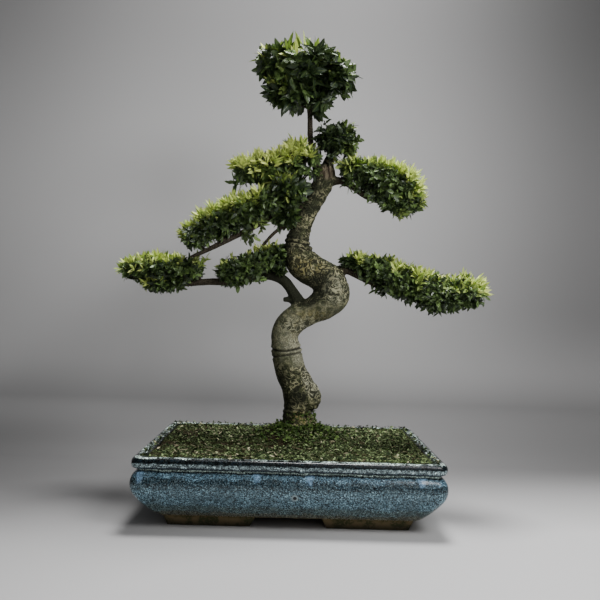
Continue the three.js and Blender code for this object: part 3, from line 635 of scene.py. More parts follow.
def patch_group():
    """A node group that gives patches: noise on Object coordinates, cut off between two levels."""
    found = bpy.data.node_groups.get("soft patches")
    if found:
        return found
    tree = bpy.data.node_groups.new("soft patches", "ShaderNodeTree")
    defaults = {"Patch size": 0.01, "Detail": 3.0, "Low": 0.45, "High": 0.6, "Stretch": 1.0}
    for name, default in defaults.items():
        socket = tree.interface.new_socket(name=name, in_out="INPUT", socket_type="NodeSocketFloat")
        socket.default_value = default
    tree.interface.new_socket(name="Mask", in_out="OUTPUT", socket_type="NodeSocketFloat")
    start = tree.nodes.new("NodeGroupInput")
    place = node(tree, "TexCoord").outputs["Object"]
    scale = reckon(tree, "DIVIDE", 1.0, start.outputs["Patch size"])
    squeeze = node(tree, "CombineXYZ", {"X": 1.0, "Y": 1.0, "Z": start.outputs["Stretch"]}).outputs[0]
    place = node(tree, "VectorMath", {0: place, 1: squeeze}, operation="MULTIPLY").outputs[0]
    texture = node(tree, "TexNoise", {"Vector": place, "Scale": scale, "Detail": start.outputs["Detail"]})
    mask = eased(tree, texture.outputs[0], start.outputs["Low"], start.outputs["High"])
    stop = tree.nodes.new("NodeGroupOutput")
    tree.links.new(mask, stop.inputs[0])
    return tree


def patches(tree, size, low=0.45, high=0.6, detail=3.0, stretch=1.0):
    """A mask of soft patches about that size in millimetres."""
    group = tree.nodes.new("ShaderNodeGroup")
    group.node_tree = patch_group()
    inputs = {"Patch size": size * MM, "Detail": detail, "Low": low, "High": high, "Stretch": stretch}
    for key, value in inputs.items():
        group.inputs[key].default_value = value
    return group.outputs[0]


def start_material(name, roughness, specular):
    """A new material with its shader, whose plain values stay set on its own sockets."""
    material = bpy.data.materials.new(name)
    material.use_nodes = True
    tree = material.node_tree
    shader = tree.nodes["Principled BSDF"]
    shader.inputs["Roughness"].default_value = roughness
    shader.inputs["Specular IOR Level"].default_value = specular
    return material, tree, shader


def paint(tree, shader, colour):
    """Makes a colour the surface's own."""
    tree.links.new(colour, shader.inputs["Base Color"])


def bump(tree, shader, height, distance, strength=1.0):
    """Raises the surface by a height from 0 to 1 times a distance in millimetres."""
    inputs = {"Height": height, "Distance": distance * MM, "Strength": strength}
    tree.links.new(node(tree, "Bump", inputs).outputs[0], shader.inputs["Normal"])


def bark_material(settings):
    """Bark by the mesh's own values: smooth grey-green skin or brighter crests where it is rough, bone pale
    on worn bends with a painted highlight where the bark faces the light, warm yellow-brown, and grime with
    painted shade on the bark's shaded sides and undersides and on the limb under the pads. Dark lines, bands
    of a twisted noise, wind through all of it where it is rough, and painted shade fills the ring scars'
    grooves and the pits. The dead wood has brown streaks and the twigs are a dull brown."""
    material, tree, shader = start_material("bark", 0.8, 0.25)
    place = node(tree, "TexCoord").outputs["Object"]
    inputs = {"Vector": place, "Scale": 66.0, "Detail": 1.6, "Distortion": 1.3}
    swirl = node(tree, "TexNoise", inputs).outputs[0]
    winding = eased(tree, reckon(tree, "SINE", times(tree, swirl, 32.0)), -0.45, 0.45)
    rough = attribute(tree, "rough")
    fine = patches(tree, 1.5, 0.4, 0.6, 3)
    smooth = mixed(tree, patches(tree, 8, 0.42, 0.62, 5), settings.bark, settings.bark_green)
    lenticel = patches(tree, 4.5, 0.62, 0.68, 2, 3.0)
    smooth = mixed(tree, times(tree, lenticel, 0.7), smooth, settings.bark_dark)
    crest = mixed(tree, patches(tree, 9, 0.45, 0.58, 3), settings.bark_green, settings.bark_crest)
    colour = mixed(tree, rough, smooth, crest)
    # Pale: worn bark, and a painted highlight where it faces the light.
    pale = times(tree, attribute(tree, "pale"), eased(tree, fine, 0.0, 1.0, 0.9, 0.55))
    colour = mixed(tree, pale, colour, settings.bark_pale)
    warm = times(tree, attribute(tree, "warm"), patches(tree, 7, 0.35, 0.6, 3))
    colour = mixed(tree, warm, colour, settings.bark_warm)
    colour = mixed(tree, times(tree, fine, 0.4), colour, settings.bark_dark)
    # Grime and painted shade: near black where the bark is dirty and where it is shaded.
    grime = mixed(tree, fine, (0.008, 0.009, 0.005), (0.03, 0.033, 0.016))
    cover = eased(tree, plus(tree, winding, fine), 1.0, 2.0, 0.95, 0.6)
    colour = mixed(tree, times(tree, attribute(tree, "grime"), cover), colour, grime)
    line = times(tree, minus(tree, 1.0, winding), rough)
    line = times(tree, line, patches(tree, 13, 0.25, 0.42, 2))
    colour = mixed(tree, times(tree, line, 0.93), colour, settings.bark_dark)
    # Painted shade: near black in the ring scars' grooves and in the pits.
    colour = mixed(tree, attribute(tree, "crack"), colour, (0.008, 0.008, 0.005))
    streak = patches(tree, 3.5, 0.42, 0.58, 3, 0.15)
    dead = mixed(tree, streak, (0.16, 0.13, 0.085), (0.03, 0.02, 0.012))
    colour = mixed(tree, attribute(tree, "dead"), colour, dead)
    twig = mixed(tree, fine, (0.014, 0.011, 0.007), (0.075, 0.06, 0.04))
    colour = mixed(tree, attribute(tree, "twig"), colour, twig)
    paint(tree, shader, colour)
    relief = minus(tree, times(tree, fine, -0.4), line)
    bump(tree, shader, relief, 0.7, 0.9)
    return material


def leaf_material(name, settings, young):
    """A glossy leaf: its own shade of green, a pale midrib and side veins from its UV, a duller and paler
    underside, and yellow-green where it is young, brightest on the newest leaves, whose bright yellow also
    paints the glow of light through them."""
    material, tree, shader = start_material(name, 0.4 if young else 0.32, 0.3 if young else 0.5)
    place = node(tree, "UVMap", uv_map="leaf").outputs[0]
    along, across, _ = node(tree, "SeparateXYZ", {0: place}).outputs
    tint = attribute(tree, "tint")
    youth = attribute(tree, "youth")
    base = mixed(tree, tint, settings.leaf_dark, settings.leaf_green)
    # The newest leaves' bright yellow is partly painted glow of the light through them.
    fresh = mixed(tree, tint, settings.young_green, settings.young_yellow_glow)
    colour = mixed(tree, youth, base, fresh)
    under = reckon(tree, "GREATER_THAN", across, 0.5)
    dull = mixed(tree, youth, (0.1, 0.15, 0.06), settings.young_green)
    colour = mixed(tree, times(tree, under, 0.3), colour, dull)
    folded = reckon(tree, "FRACT", times(tree, across, 2.0))
    off = reckon(tree, "ABSOLUTE", minus(tree, folded, 0.5))
    midrib = eased(tree, off, 0.02, 0.07, 1.0, 0.0)
    slant = minus(tree, times(tree, along, 60.0), times(tree, off, 40.0))
    veins = eased(tree, reckon(tree, "SINE", slant), 0.75, 1.0)
    lines = reckon(tree, "MAXIMUM", midrib, times(tree, veins, 0.45))
    colour = mixed(tree, times(tree, lines, 0.3), colour, (0.3, 0.4, 0.1))
    paint(tree, shader, colour)
    bump(tree, shader, plus(tree, lines, patches(tree, 4, 0.3, 0.7, 2)), 0.25, 0.7)
    return material


def twig_material():
    """Thin brown twigs with paler dots of bark."""
    material, tree, shader = start_material("twigs", 0.75, 0.3)
    speck = patches(tree, 1.5, 0.5, 0.65)
    wood = mixed(tree, speck, (0.02, 0.015, 0.01), (0.085, 0.07, 0.045))
    colour = mixed(tree, attribute(tree, "youth"), wood, (0.18, 0.24, 0.06))
    paint(tree, shader, colour)
    bump(tree, shader, speck, 0.15)
    return material


# Wood


def ring_scars(points):
    """How deep each point lies in a ring scar's groove and how high on its lips. A ring's height is z0 +
    slope (x - x0) + sag (x - x0)^2 / 26^2, and it wavers a little."""
    x, _, z = points.T
    groove, lips = np.zeros(len(points)), np.zeros(len(points))
    for centre, height, slope, sag, depth in RING_SCARS:
        across = x - centre
        level = z - height - slope * across - sag * (across / 26) ** 2 - 1.2 * noise(points, 22, 53)
        groove = np.maximum(groove, depth * np.exp(-((level / 1.8) ** 2)))
        lips += depth * (np.exp(-((level - 4) / 2.6) ** 2) + np.exp(-((level + 4) / 2.6) ** 2))
    return groove, lips


def marked(x, z, rows):
    """Soft oval marks, as strong as their rows say inside them and 0 outside, added up."""
    total = np.zeros(len(x))
    for strength, middle_x, middle_z, half_x, half_z in rows:
        total += strength * ease(np.hypot((x - middle_x) / half_x, (z - middle_z) / half_z), 1.35, 0.6)
    return total


def bark_surface(settings):
    """The tree's wood: tubes along the limbs, grown together by a voxel remesh and smoothed, then pushed out
    along their normals by slow swellings, small lumps (the size of a warped noise), ring scars, ribs on the
    upper trunk and fine grain, all fading on the thin limbs. Its values per point say where the bark is
    rough, warm, pale (worn, with a painted highlight where it faces the light), grimy or in painted shade,
    cracked with painted shade in its grooves and pits, or dead, and where a limb is thin enough for a twig's
    bark."""
    skins = [tube(TRUNK, 4, 40, 0.025), tube(BURL, 4, 28, 0.03)]
    skins += [tube(rows, 4, 16, 0.03) for rows in BRANCHES.values()]
    skins += [tube(rows, 4, 20, 0.05) for rows in ROOTS.values()]

    def remesh(work):
        modifier = work.modifiers.new("grow together", "REMESH")
        modifier.mode = "VOXEL"
        modifier.voxel_size = settings.bark_grain
        return []

    points, faces = evaluated(*merged(skins), remesh)
    points = relaxed(points, faces, 5)
    normals = point_normals(points, faces)

    trunk, trunk_radii = limb_path(TRUNK, 3)
    others = [limb_path(rows, 3) for rows in BRANCHES.values()]
    other_path, other_radii = (np.concatenate(part) for part in zip(*others))
    other_names = np.concatenate([[name] * len(path) for name, (path, _) in zip(BRANCHES, others)])
    on_trunk, trunk_gap = nearest(points, trunk)
    on_other, other_gap = nearest(points, other_path)
    is_trunk = trunk_gap - trunk_radii[on_trunk] < other_gap - other_radii[on_other] + 1
    thickness = np.where(is_trunk, trunk_radii[on_trunk], other_radii[on_other])
    limb = other_names[on_other]
    x, y, z = points.T
    right, up = normals[:, 0], normals[:, 2]
    stout = ease(thickness, 6, 18)
    on_stem = stout * is_trunk

    # Forms. The bark is rough low on the trunk, on its upper half and in swirls on the bend between them.
    warp = np.stack([noise(points, 9, 31 + k) for k in range(3)], -1)
    lumps = ease(np.abs(layered_noise(points + 4 * warp, 6, 23, 2)), 0.02, 0.3)
    rough = ease(z + 16 * noise(points, 24, 29), 252, 226) + ease(z + 14 * noise(points, 20, 30), 332, 350)
    reached = x + 10 * noise(points, 18, 33) + 20 * ease(z, 282, 304)
    swirled = 0.9 * ease(reached, -10, 6) * ease(z, 266, 276) * ease(z, 345, 300)
    rough = np.clip(rough + swirled, 0.42, 1)
    pit = stout * ease(cell_distance(points, 10, 5), 0.16, 0.06) * rough
    groove, lips = ring_scars(points)
    lift = 1.1 * stout * layered_noise(points, 26, 3) + 0.8 * stout * rough * (lumps - 0.6) - 1.0 * pit
    lift += 0.3 * ease(thickness, 2, 8) * layered_noise(points, 4.2, 41, 2)
    lift += on_stem * (1.0 * lips - 1.9 * groove)
    ribs = np.maximum(0, np.sin((z + 0.25 * x + 4 * noise(points, 30, 59)) / 3.4))
    lift += 0.7 * ribs * stout * ease(z, 440, 470) * (1 - ease(z, 540, 560))
    points = points + normals * lift[:, None]

    # Marks. The bark is also worn pale between its lower and its upper rough part, most on the right, where
    # the pale is partly a painted highlight on the sides that face the light.
    speckled = 1 + 0.5 * layered_noise(points, 9, 61)
    pale = marked(x, z, PALE_MARKS) + 0.7 * ease(right, 0.1, 0.8) * ease(z, 345, 300) * ease(z, 215, 240)
    pale += 0.5 * ease(z, 236, 262) * ease(z, 335, 300) * ease(right, -0.75, -0.1)
    pale = stout * np.clip(pale * speckled * ease(z, 470, 440), 0, 1)
    warm = stout * np.clip(marked(x, z, WARM_MARKS) * speckled, 0, 1)

    # Grime and painted shade: more on left sides, away from the light, and on undersides, and all over the
    # inner part of the low left limb, which lies in the pads' shade.
    wander = layered_noise(points, 30, 67)
    grime = marked(x, z, GRIME_MARKS) + marked(x, z, SPECKLED_GRIME_MARKS) * speckled
    grime += ease(wander - 0.55 * right, -0.1, 0.45) * ease(z, 244, 212)
    grime += 0.8 * ease(wander - 0.5 * right, -0.35, 0.4) * ease(z, 200, 168)
    grime += 0.65 * ease(wander - 0.6 * right, -0.6, 0.3) * ease(z, 420, 446)
    grime += 0.75 * ease(right, -0.2, -0.8) * ease(z, 366, 392)
    grime += 0.6 * ease(right, -0.5, -0.95) * ease(z, 225, 250)
    grime = np.clip(grime + 0.7 * ease(up, -0.35, -0.9), 0, 1)
    # Painted shade: the inner part of the low left limb and the pruned knob, under the pads, are darkened.
    limb_in_shade = np.maximum((limb == "left_low") * ease(x, -80, -45), limb == "pruned_knob") * ~is_trunk
    grime = np.where(is_trunk, grime, np.maximum(grime, 1.6 * limb_in_shade))
    dead = marked(x, z, DEAD_MARKS) * ease(y, 52, 38) * (thickness > 8)
    values = {
        "rough": rough,
        "warm": warm,
        # Painted shade in the ring scars' grooves and in the pits.
        "crack": np.clip(1.15 * on_stem * groove + 0.9 * pit, 0, 1),
        "pale": pale,
        "grime": grime * (1 - 0.7 * pale) * (1 - dead),
        "dead": dead,
        "twig": ease(thickness, 9, 6) * (1 - limb_in_shade),
    }
    return points, faces, values


# Foliage


def blade_layout(stations):
    """The faces of one closed blade, the upper ones first, and the UV of each of their corners. Its points
    are its base, each station's left edge, midrib and right edge, its tip and each station's underside."""
    rows = len(stations)
    left, rib, right = (1 + 3 * np.arange(rows) + k for k in range(3))
    tip = 1 + 3 * rows
    low = tip + 1 + np.arange(rows)
    triangles = [
        [0, right[0], rib[0]], [0, rib[0], left[0]],
        [right[-1], tip, rib[-1]], [rib[-1], tip, left[-1]],
        [0, low[0], right[0]], [0, left[0], low[0]],
        [right[-1], low[-1], tip], [low[-1], left[-1], tip],
    ]
    quads = []
    for k in range(rows - 1):
        quads += [[right[k], right[k + 1], rib[k + 1], rib[k]], [rib[k], rib[k + 1], left[k + 1], left[k]]]
    for k in range(rows - 1):
        quads += [[right[k], low[k], low[k + 1], right[k + 1]], [low[k], left[k], left[k + 1], low[k + 1]]]
    u = np.concatenate([[0], np.repeat(stations, 3), [1], stations])
    v = np.concatenate([[0], np.tile([1, 0, -1], rows), np.zeros(1 + rows)])
    faces = [np.array(triangles), np.array(quads, int).reshape(-1, 4)]
    uv = []
    for array in faces:
        side = np.where(np.arange(len(array)) < len(array) / 2, 0.25, 0.75)[:, None]
        uv.append(np.stack([u[array], side + 0.24 * v[array]], -1).reshape(-1, 2))
    return faces, uv


def leaf_blades(roots, ways, ups, length, width, fold, droop, stations):
    """Leaves as closed blades. Along a leaf, u runs from 0 to 1 and its half width is
    length x width x sin(pi u^0.8)^0.8 / 2. Its edges rise by fold times their distance from the midrib, the
    midrib droops by droop x u^2, and the underside lies LEAF_THICK below."""
    count = len(roots)
    u = np.array(stations)
    along = unit(ways)
    across = unit(np.cross(ups, along))
    up = np.cross(along, across)
    half = 0.5 * width[:, None] * np.sin(math.pi * u**0.8) ** 0.8
    sag = droop[:, None] * u**2
    place = np.broadcast_to(u, half.shape)
    rise = fold[:, None] * half
    edges = [np.stack([place, side * half, rise * abs(side) - sag], -1) for side in (1, 0, -1)]
    middle = np.stack(edges, 2).reshape(count, -1, 3)
    base = np.zeros((count, 1, 3))
    tip = np.stack([np.ones(count), np.zeros(count), -droop], -1)[:, None]
    low = edges[1].copy()
    low[..., 2] -= (LEAF_THICK / length)[:, None]
    local = np.concatenate([base, middle, tip, low], 1) * length[:, None, None]
    frames = np.stack([along, across, up], 1)
    points = roots[:, None] + np.einsum("nvk,nkj->nvj", local, frames)
    faces, corner_uv = blade_layout(stations)
    uv = np.concatenate([np.tile(part, (count, 1)) for part in corner_uv if len(part)])
    return points.reshape(-1, 3), repeated(faces, count, local.shape[1]), uv


def bent(start, control, stop, steps):
    """Points along each parabola from start to stop whose ends point at its control point."""
    t = np.linspace(0, 1, steps)[None, :, None]
    return (1 - t) ** 2 * start[:, None] + 2 * t * (1 - t) * control[:, None] + t**2 * stop[:, None]


def stems(paths, radii, sides):
    """Thin closed tubes along many paths at once (paths x steps x 3), with a radius at each step."""
    ahead = unit(np.gradient(paths, axis=1))
    side = unit(np.cross(ahead, [0.31, 0.93, 0.2]))
    other = np.cross(ahead, side)
    angle = 2 * math.pi * np.arange(sides) / sides
    spoke = side[:, :, None] * np.cos(angle)[:, None] + other[:, :, None] * np.sin(angle)[:, None]
    rings = paths[:, :, None] + spoke * radii[..., None, None]
    count, steps = paths.shape[:2]
    points = np.concatenate([rings.reshape(count, -1, 3), paths[:, :1], paths[:, -1:]], 1)
    faces = [end_fans(steps, sides), grid_faces(steps, sides)]
    return points.reshape(-1, 3), repeated(faces, count, points.shape[1])


def pad_twigs(pad, random):
    """The twigs that fork from the limb into a pad: parabolas from the limb to places spread over each lobe
    at a third to over half of its reach."""
    limb = np.concatenate([limb_path(BRANCHES[name], 4)[0] for name in pad["limbs"]])
    starts, ends = [], []
    for lobe in np.array(pad["lobes"], float):
        count = max(5, int(lobe[3] * lobe[4] / 130))
        way = spread_directions(count, lobe[0])
        places = lobe[:3] + way * lobe[3:] * random.uniform(0.3, 0.6, (count, 1))
        index, _ = nearest(places + random.normal(0, 9, places.shape), limb)
        starts.append(limb[index])
        ends.append(places)
    starts, ends = np.concatenate(starts), np.concatenate(ends)
    control = 0.5 * (starts + ends) + random.normal(0, 3, starts.shape)
    control[:, 2] -= 0.12 * np.linalg.norm(ends - starts, axis=-1)
    return bent(starts, control, ends, 7)


def filled_lobes(pad):
    """A pad's lobes, with one more halfway between each two that follow and touch each other."""
    lobes = [np.array(lobe, float) for lobe in pad["lobes"]]
    between = []
    for first, second in zip(lobes, lobes[1:]):
        if np.linalg.norm(first[:3] - second[:3]) < 0.8 * (first[3] + second[3]):
            between.append(0.5 * (first + second) * [1, 1, 1, 0.95, 0.95, 0.95])
    return lobes + between


def pad_shoots(pad, twigs, density, random):
    """Leafy shoots: each starts on the nearest twig and ends near its lobe's skin, which wavers, in an outer
    layer and two inner ones, with fewer below. Those that face the way of the pad's new growth are young,
    and a few long young ones and stray sprigs stand out of the pad."""
    tips, outwards, layers, young = [], [], [], []
    growth = unit(np.array(pad["growth"], float))
    size = pad["leaf"][0]
    lobes = filled_lobes(pad)
    for lobe in lobes:
        inner = np.maximum(lobe[3:] - 0.75 * size - 2, 0.35 * lobe[3:])
        area = 4 * math.pi * (lobe[3] * lobe[4] + lobe[4] * lobe[5] + lobe[3] * lobe[5]) / 3
        for layer, (reach, share) in enumerate(((1.0, 1.0), (0.72, 0.32), (0.4, 0.08))):
            count = int(area * density * share / size**2)
            way = spread_directions(count, lobe[0] + layer)
            way = unit(way + random.normal(0, 0.2, way.shape))
            place = lobe[:3] + way * inner * reach * random.uniform(0.78, 1.1, (count, 1))
            place += way * 4.5 * noise(place, 17, 7)[:, None]
            keep = (way[:, 2] > -0.55) | (random.random(count) < 0.65)
            for other in lobes:
                if other is not lobe:
                    keep &= np.linalg.norm((place - other[:3]) / other[3:], axis=-1) > 0.62
            outward = unit(way / lobe[3:])[keep]
            facing = outward @ growth + random.normal(0, 0.15, len(outward))
            facing += 0.6 * pad["youth"] * noise(place[keep], 26, 9)
            low = 1.0 - 0.6 * pad["youth"]
            tips.append(place[keep])
            outwards.append(outward)
            layers.append(np.full(keep.sum(), layer))
            young.append(ease(facing, low, low + 0.25) * (layer == 0))
    for tip, way, youth in [[*shoot, 1.0] for shoot in pad["shoots"]] + pad["sprigs"]:
        way = unit(np.array(way, float))
        tips.append(np.array(tip) - 0.65 * size * way + random.normal(0, 5.5, (5, 3)))
        outwards.append(np.tile(way, (5, 1)))
        layers.append(np.zeros(5))
        young.append(np.full(5, youth))
    tips, outwards, layers, young = map(np.concatenate, (tips, outwards, layers, young))
    samples = twigs[:, 2:].reshape(-1, 3)
    index, _ = nearest(tips - 6 * outwards + random.normal(0, 4, tips.shape), samples)
    starts = samples[index]
    heading = unit(outwards + [0, 0, 0.4] + random.normal(0, 0.35, tips.shape))
    reach = np.linalg.norm(tips - starts, axis=-1, keepdims=True)
    paths = bent(starts, tips - heading * 0.5 * reach, tips, 8)
    return paths, outwards, young, layers


def pad_leaves(pad, paths, outwards, youth, layers, scale, random):
    """The leaves along the outer part of each shoot, in two ranks that alternate, and one at its tip. Each
    leans from the stem to its side and faces up and out, loosely where it is old, and is narrow and close
    to the stem's way where it is young. Tints go about the pad's own tone, shoot by shoot and leaf by leaf,
    and the inner layers are darker, which is painted shade inside the pad."""
    count, leaves = len(paths), SHOOT_LEAVES
    size, ratio = pad["leaf"]
    rank = np.arange(leaves)
    share = 0.25 + 0.75 * rank / (leaves - 1)
    position = share * (paths.shape[1] - 1)
    low = np.minimum(position.astype(int), paths.shape[1] - 2)
    part = (position - low)[None, :, None]
    roots = paths[:, low] * (1 - part) + paths[:, low + 1] * part
    stem = unit(paths[:, low + 1] - paths[:, low])
    face = unit(outwards * 0.9 + [0, -0.1, 0.5] + random.normal(0, 0.4, (count, 3)))[:, None]
    side = unit(np.cross(face, stem))
    sign = np.where(rank % 2, 1.0, -1.0)[None, :, None]
    spread = np.where(rank == leaves - 1, 0.1, 1.0)[None, :, None]
    young = youth[:, None, None]
    spread = spread * (1.6 - 0.95 * young) * random.uniform(0.6, 1.4, (count, leaves, 1))
    stray = random.normal(0, 1, (count, leaves, 3)) * (0.55 - 0.4 * young)
    way = unit(stem + side * sign * spread + stray)
    up = unit(face + random.normal(0, 0.5, (count, leaves, 3)))
    length = size * scale * (0.8 + 0.3 * np.sin(math.pi * (0.1 + 0.75 * share)))[None]
    length = length * random.uniform(0.6, 1.2, (count, leaves)) * (1 + 0.3 * youth[:, None])
    width = ratio * (1 - 0.5 * youth[:, None]) * random.uniform(0.8, 1.2, (count, leaves))
    fold = random.uniform(0.0, 0.5, (count, leaves))
    droop = random.uniform(-0.04, 0.3, (count, leaves)) * (1 - 0.6 * youth[:, None])
    tint = random.normal(pad["tone"], 0.35, (count, 1)) + random.normal(0, 0.3, (count, leaves))
    # Painted shade: leaves of the inner layers are darker.
    tint = np.clip(tint + 0.5 * youth[:, None], 0, 1) * (1 - 0.7 * (layers[:, None] > 0))
    fresh = np.clip(youth[:, None] * (0.55 + 0.6 * share[None]), 0, 1)
    flat = (roots, way, up, length, width, fold, droop, tint, fresh)
    return [value.reshape(count * leaves, *value.shape[2:]) for value in flat]


def limit_to_cad(points):
    """Keeps leaves inside the CAD part's box and a small margin round it."""
    low, high = (np.array(corner) / MM for corner in CAD_BOX)
    slack = 0.02 * (high - low) + 6
    return np.clip(points, low - slack, high + slack)


def blade_piece(name, blades, stations, material, slot, replaces=()):
    """One piece from blades: roots, ways, ups, lengths, widths, folds, droops, tints and youths."""
    *shape, tint, fresh = blades
    points, faces, uv = leaf_blades(*shape, stations)
    each = len(points) // len(tint)
    values = {"tint": np.repeat(tint, each), "youth": np.repeat(fresh, each)}
    make_piece(name, limit_to_cad(points), faces, material, slot, replaces, values, uv, sharp=65)


def build_pad(name, settings, materials):
    """A pad's three pieces: its mature leaves, its young growth and its twigs with the shoots' stems."""
    random = np.random.default_rng(100 + list(PADS).index(name))
    pad = PADS[name]
    twigs = pad_twigs(pad, random)
    paths, outwards, youth, layers = pad_shoots(pad, twigs, settings.shoot_density, random)
    leaves = pad_leaves(pad, paths, outwards, youth, layers, settings.leaf_scale, random)
    young = np.repeat(youth > YOUNG_FROM, SHOOT_LEAVES)
    stations = OVAL_LEAF if pad["leaf"][0] > 17 else SMALL_LEAF
    mature = [value[~young] for value in leaves]
    fresh = [value[young] for value in leaves]
    blade_piece(f"leaves_{name}", mature, stations, materials["leaf"], "mature_leaf", [f"foliage_{name}"])
    if young.any():
        nodes = [f"young_shoot_{name}_{k + 1}" for k in range(len(pad["shoots"]))]
        blade_piece(f"young_growth_{name}", fresh, LANCE_LEAF, materials["young"], "young_leaf", nodes)
    taper = np.linspace(1, 0, twigs.shape[1])
    thick = stems(twigs, np.broadcast_to(0.7 + 1.0 * taper, twigs.shape[:2]), 4)
    short = paths[:, [0, 3, 7]]
    thin = stems(short, np.broadcast_to(np.linspace(0.65, 0.4, 3), short.shape[:2]), 3)
    points, faces = merged([thick, thin])
    stem_youth = np.concatenate([np.zeros(len(thick[0])), np.repeat(youth, len(thin[0]) // len(paths))])
    values = {"youth": stem_youth}
    make_piece(f"twigs_{name}", limit_to_cad(points), faces, materials["twig"], "bark", values=values)


# Pot and soil


def wall_outline(inset, steps):
    """The rim's outline moved inwards by inset: a rounded rectangle, anticlockwise from above, with steps
    points shared out over its corners and sides by length, and denser on the corners."""
    corner = np.maximum(5, POT_CORNER - 0.15 * inset)
    half_x, half_y = POT_HALF[0] - inset, POT_HALF[1] - inset
    straight = [2 * (POT_HALF[1] - POT_CORNER), 2 * (POT_HALF[0] - POT_CORNER)]
    arc = CORNER_DENSITY * (math.pi / 2 * POT_CORNER)
    lengths = np.array([arc, straight[1], arc, straight[0]] * 2)
    stops = np.concatenate([[0], np.cumsum(lengths)])
    place = (np.arange(steps) + 0.5) / steps * stops[-1]
    section = np.searchsorted(stops, place, side="right") - 1
    share = (place - stops[section]) / lengths[section]
    # Corners are the even sections, starting at +X +Y, and sides are the odd ones.
    signs = np.array([[1, 1], [-1, 1], [-1, -1], [1, -1]])
    here = section // 2
    sign = signs[here]
    turn = math.pi / 2 * (here + share)
    inner_x, inner_y = half_x - corner, half_y - corner
    middle = np.stack([sign[:, 0] * inner_x, sign[:, 1] * inner_y], -1)
    round_part = middle + corner * np.stack([np.cos(turn), np.sin(turn)], -1)
    after = signs[(here + 1) % 4]
    following = np.stack([after[:, 0] * inner_x, after[:, 1] * inner_y], -1)
    edge = math.pi / 2 * (here + 1)
    offset = corner * np.stack([np.cos(edge), np.sin(edge)], -1)
    straight_part = middle + (following - middle) * share[:, None] + offset
    return np.where((section % 2 == 0)[:, None], round_part, straight_part)


def wall_ring(inset, height, steps):
    """That outline as a level ring in space."""
    return np.column_stack([wall_outline(inset, steps), np.full(steps, height)])


def smooth_profile(rows, spacing):
    """The wall's profile as a smooth curve through its points, about every spacing."""
    flat = np.array([[a, 0, b, 0] for a, b in rows], float)
    return limb_path(flat, spacing)[0][:, [0, 2]]


def pot_surface():
    """The glazed body: the wall's smooth profile carried round the rim's outline, up the outside with the
    roll of glaze that gathers under the rim, over the rim and down to the floor, with the drain holes cut
    through."""
    profile = [*smooth_profile(OUTER_WALL, 1.8), [8, 108.4], *smooth_profile(INNER_WALL, 3.5)]
    rings = [wall_ring(inset, z, WALL_STEPS) for inset, z in profile]
    under = [rings[0] * [s, s, 1] for s in (0.3, 0.7, 0.9)]
    floor = [rings[-1] * [s, s, 1] for s in (0.9, 0.7, 0.3)]
    points, faces = closed_skin(np.array(under + rings + floor))

    def drill(work):
        cutters = []
        angle = 2 * math.pi * np.arange(48) / 48
        circle = DRAIN["radius"] * np.stack([np.cos(angle), np.sin(angle)], -1)
        for x in (-DRAIN["x"], DRAIN["x"]):
            ends = [np.column_stack([circle + [x, 0], np.full(48, z)]) for z in (DRAIN["from"], DRAIN["to"])]
            cutter = placed("drill", new_mesh("drill", *closed_skin(np.array(ends))))
            modifier = work.modifiers.new("drain hole", "BOOLEAN")
            modifier.object = cutter
            cutters.append(cutter)
        return cutters

    return evaluated(points, faces, drill)


def glaze_relief(points, faces):
    """The glaze's own thickness and masks. It lies in slow waves and runs down in short V-shaped drips at a
    few places on each long side."""
    normals = point_normals(points, faces)
    x, y, z = points.T
    broad = 0.35 * layered_noise(points, 45, 71) + 0.12 * noise(points, 7, 73)
    outside = (np.maximum(np.abs(x) - POT_HALF[0], np.abs(y) - POT_HALF[1]) > -38) & (z > 19)
    around = np.where(y < 0, x, 31 - x)
    run = np.zeros(len(points))
    for place, lowest, half in GLAZE_RUNS:
        drop = (RUNS_FROM - z) / (RUNS_FROM - lowest)
        width = half * np.clip(1 - drop, 0, 1) + 0.5
        off = np.abs(around - place + 1.5 * noise(points, 9, 79))
        ends = ease(drop, -0.1, 0.1) * ease(drop, 1.2, 0.7)
        run = np.maximum(run, ease(off, width + 3.5, width - 1) * ends)
    run = run * outside * ease(np.abs(y), POT_HALF[1] - 24, POT_HALF[1] - 12)
    lift = outside * (broad + 0.5 * run)
    return points + normals * lift[:, None], {"run": run}


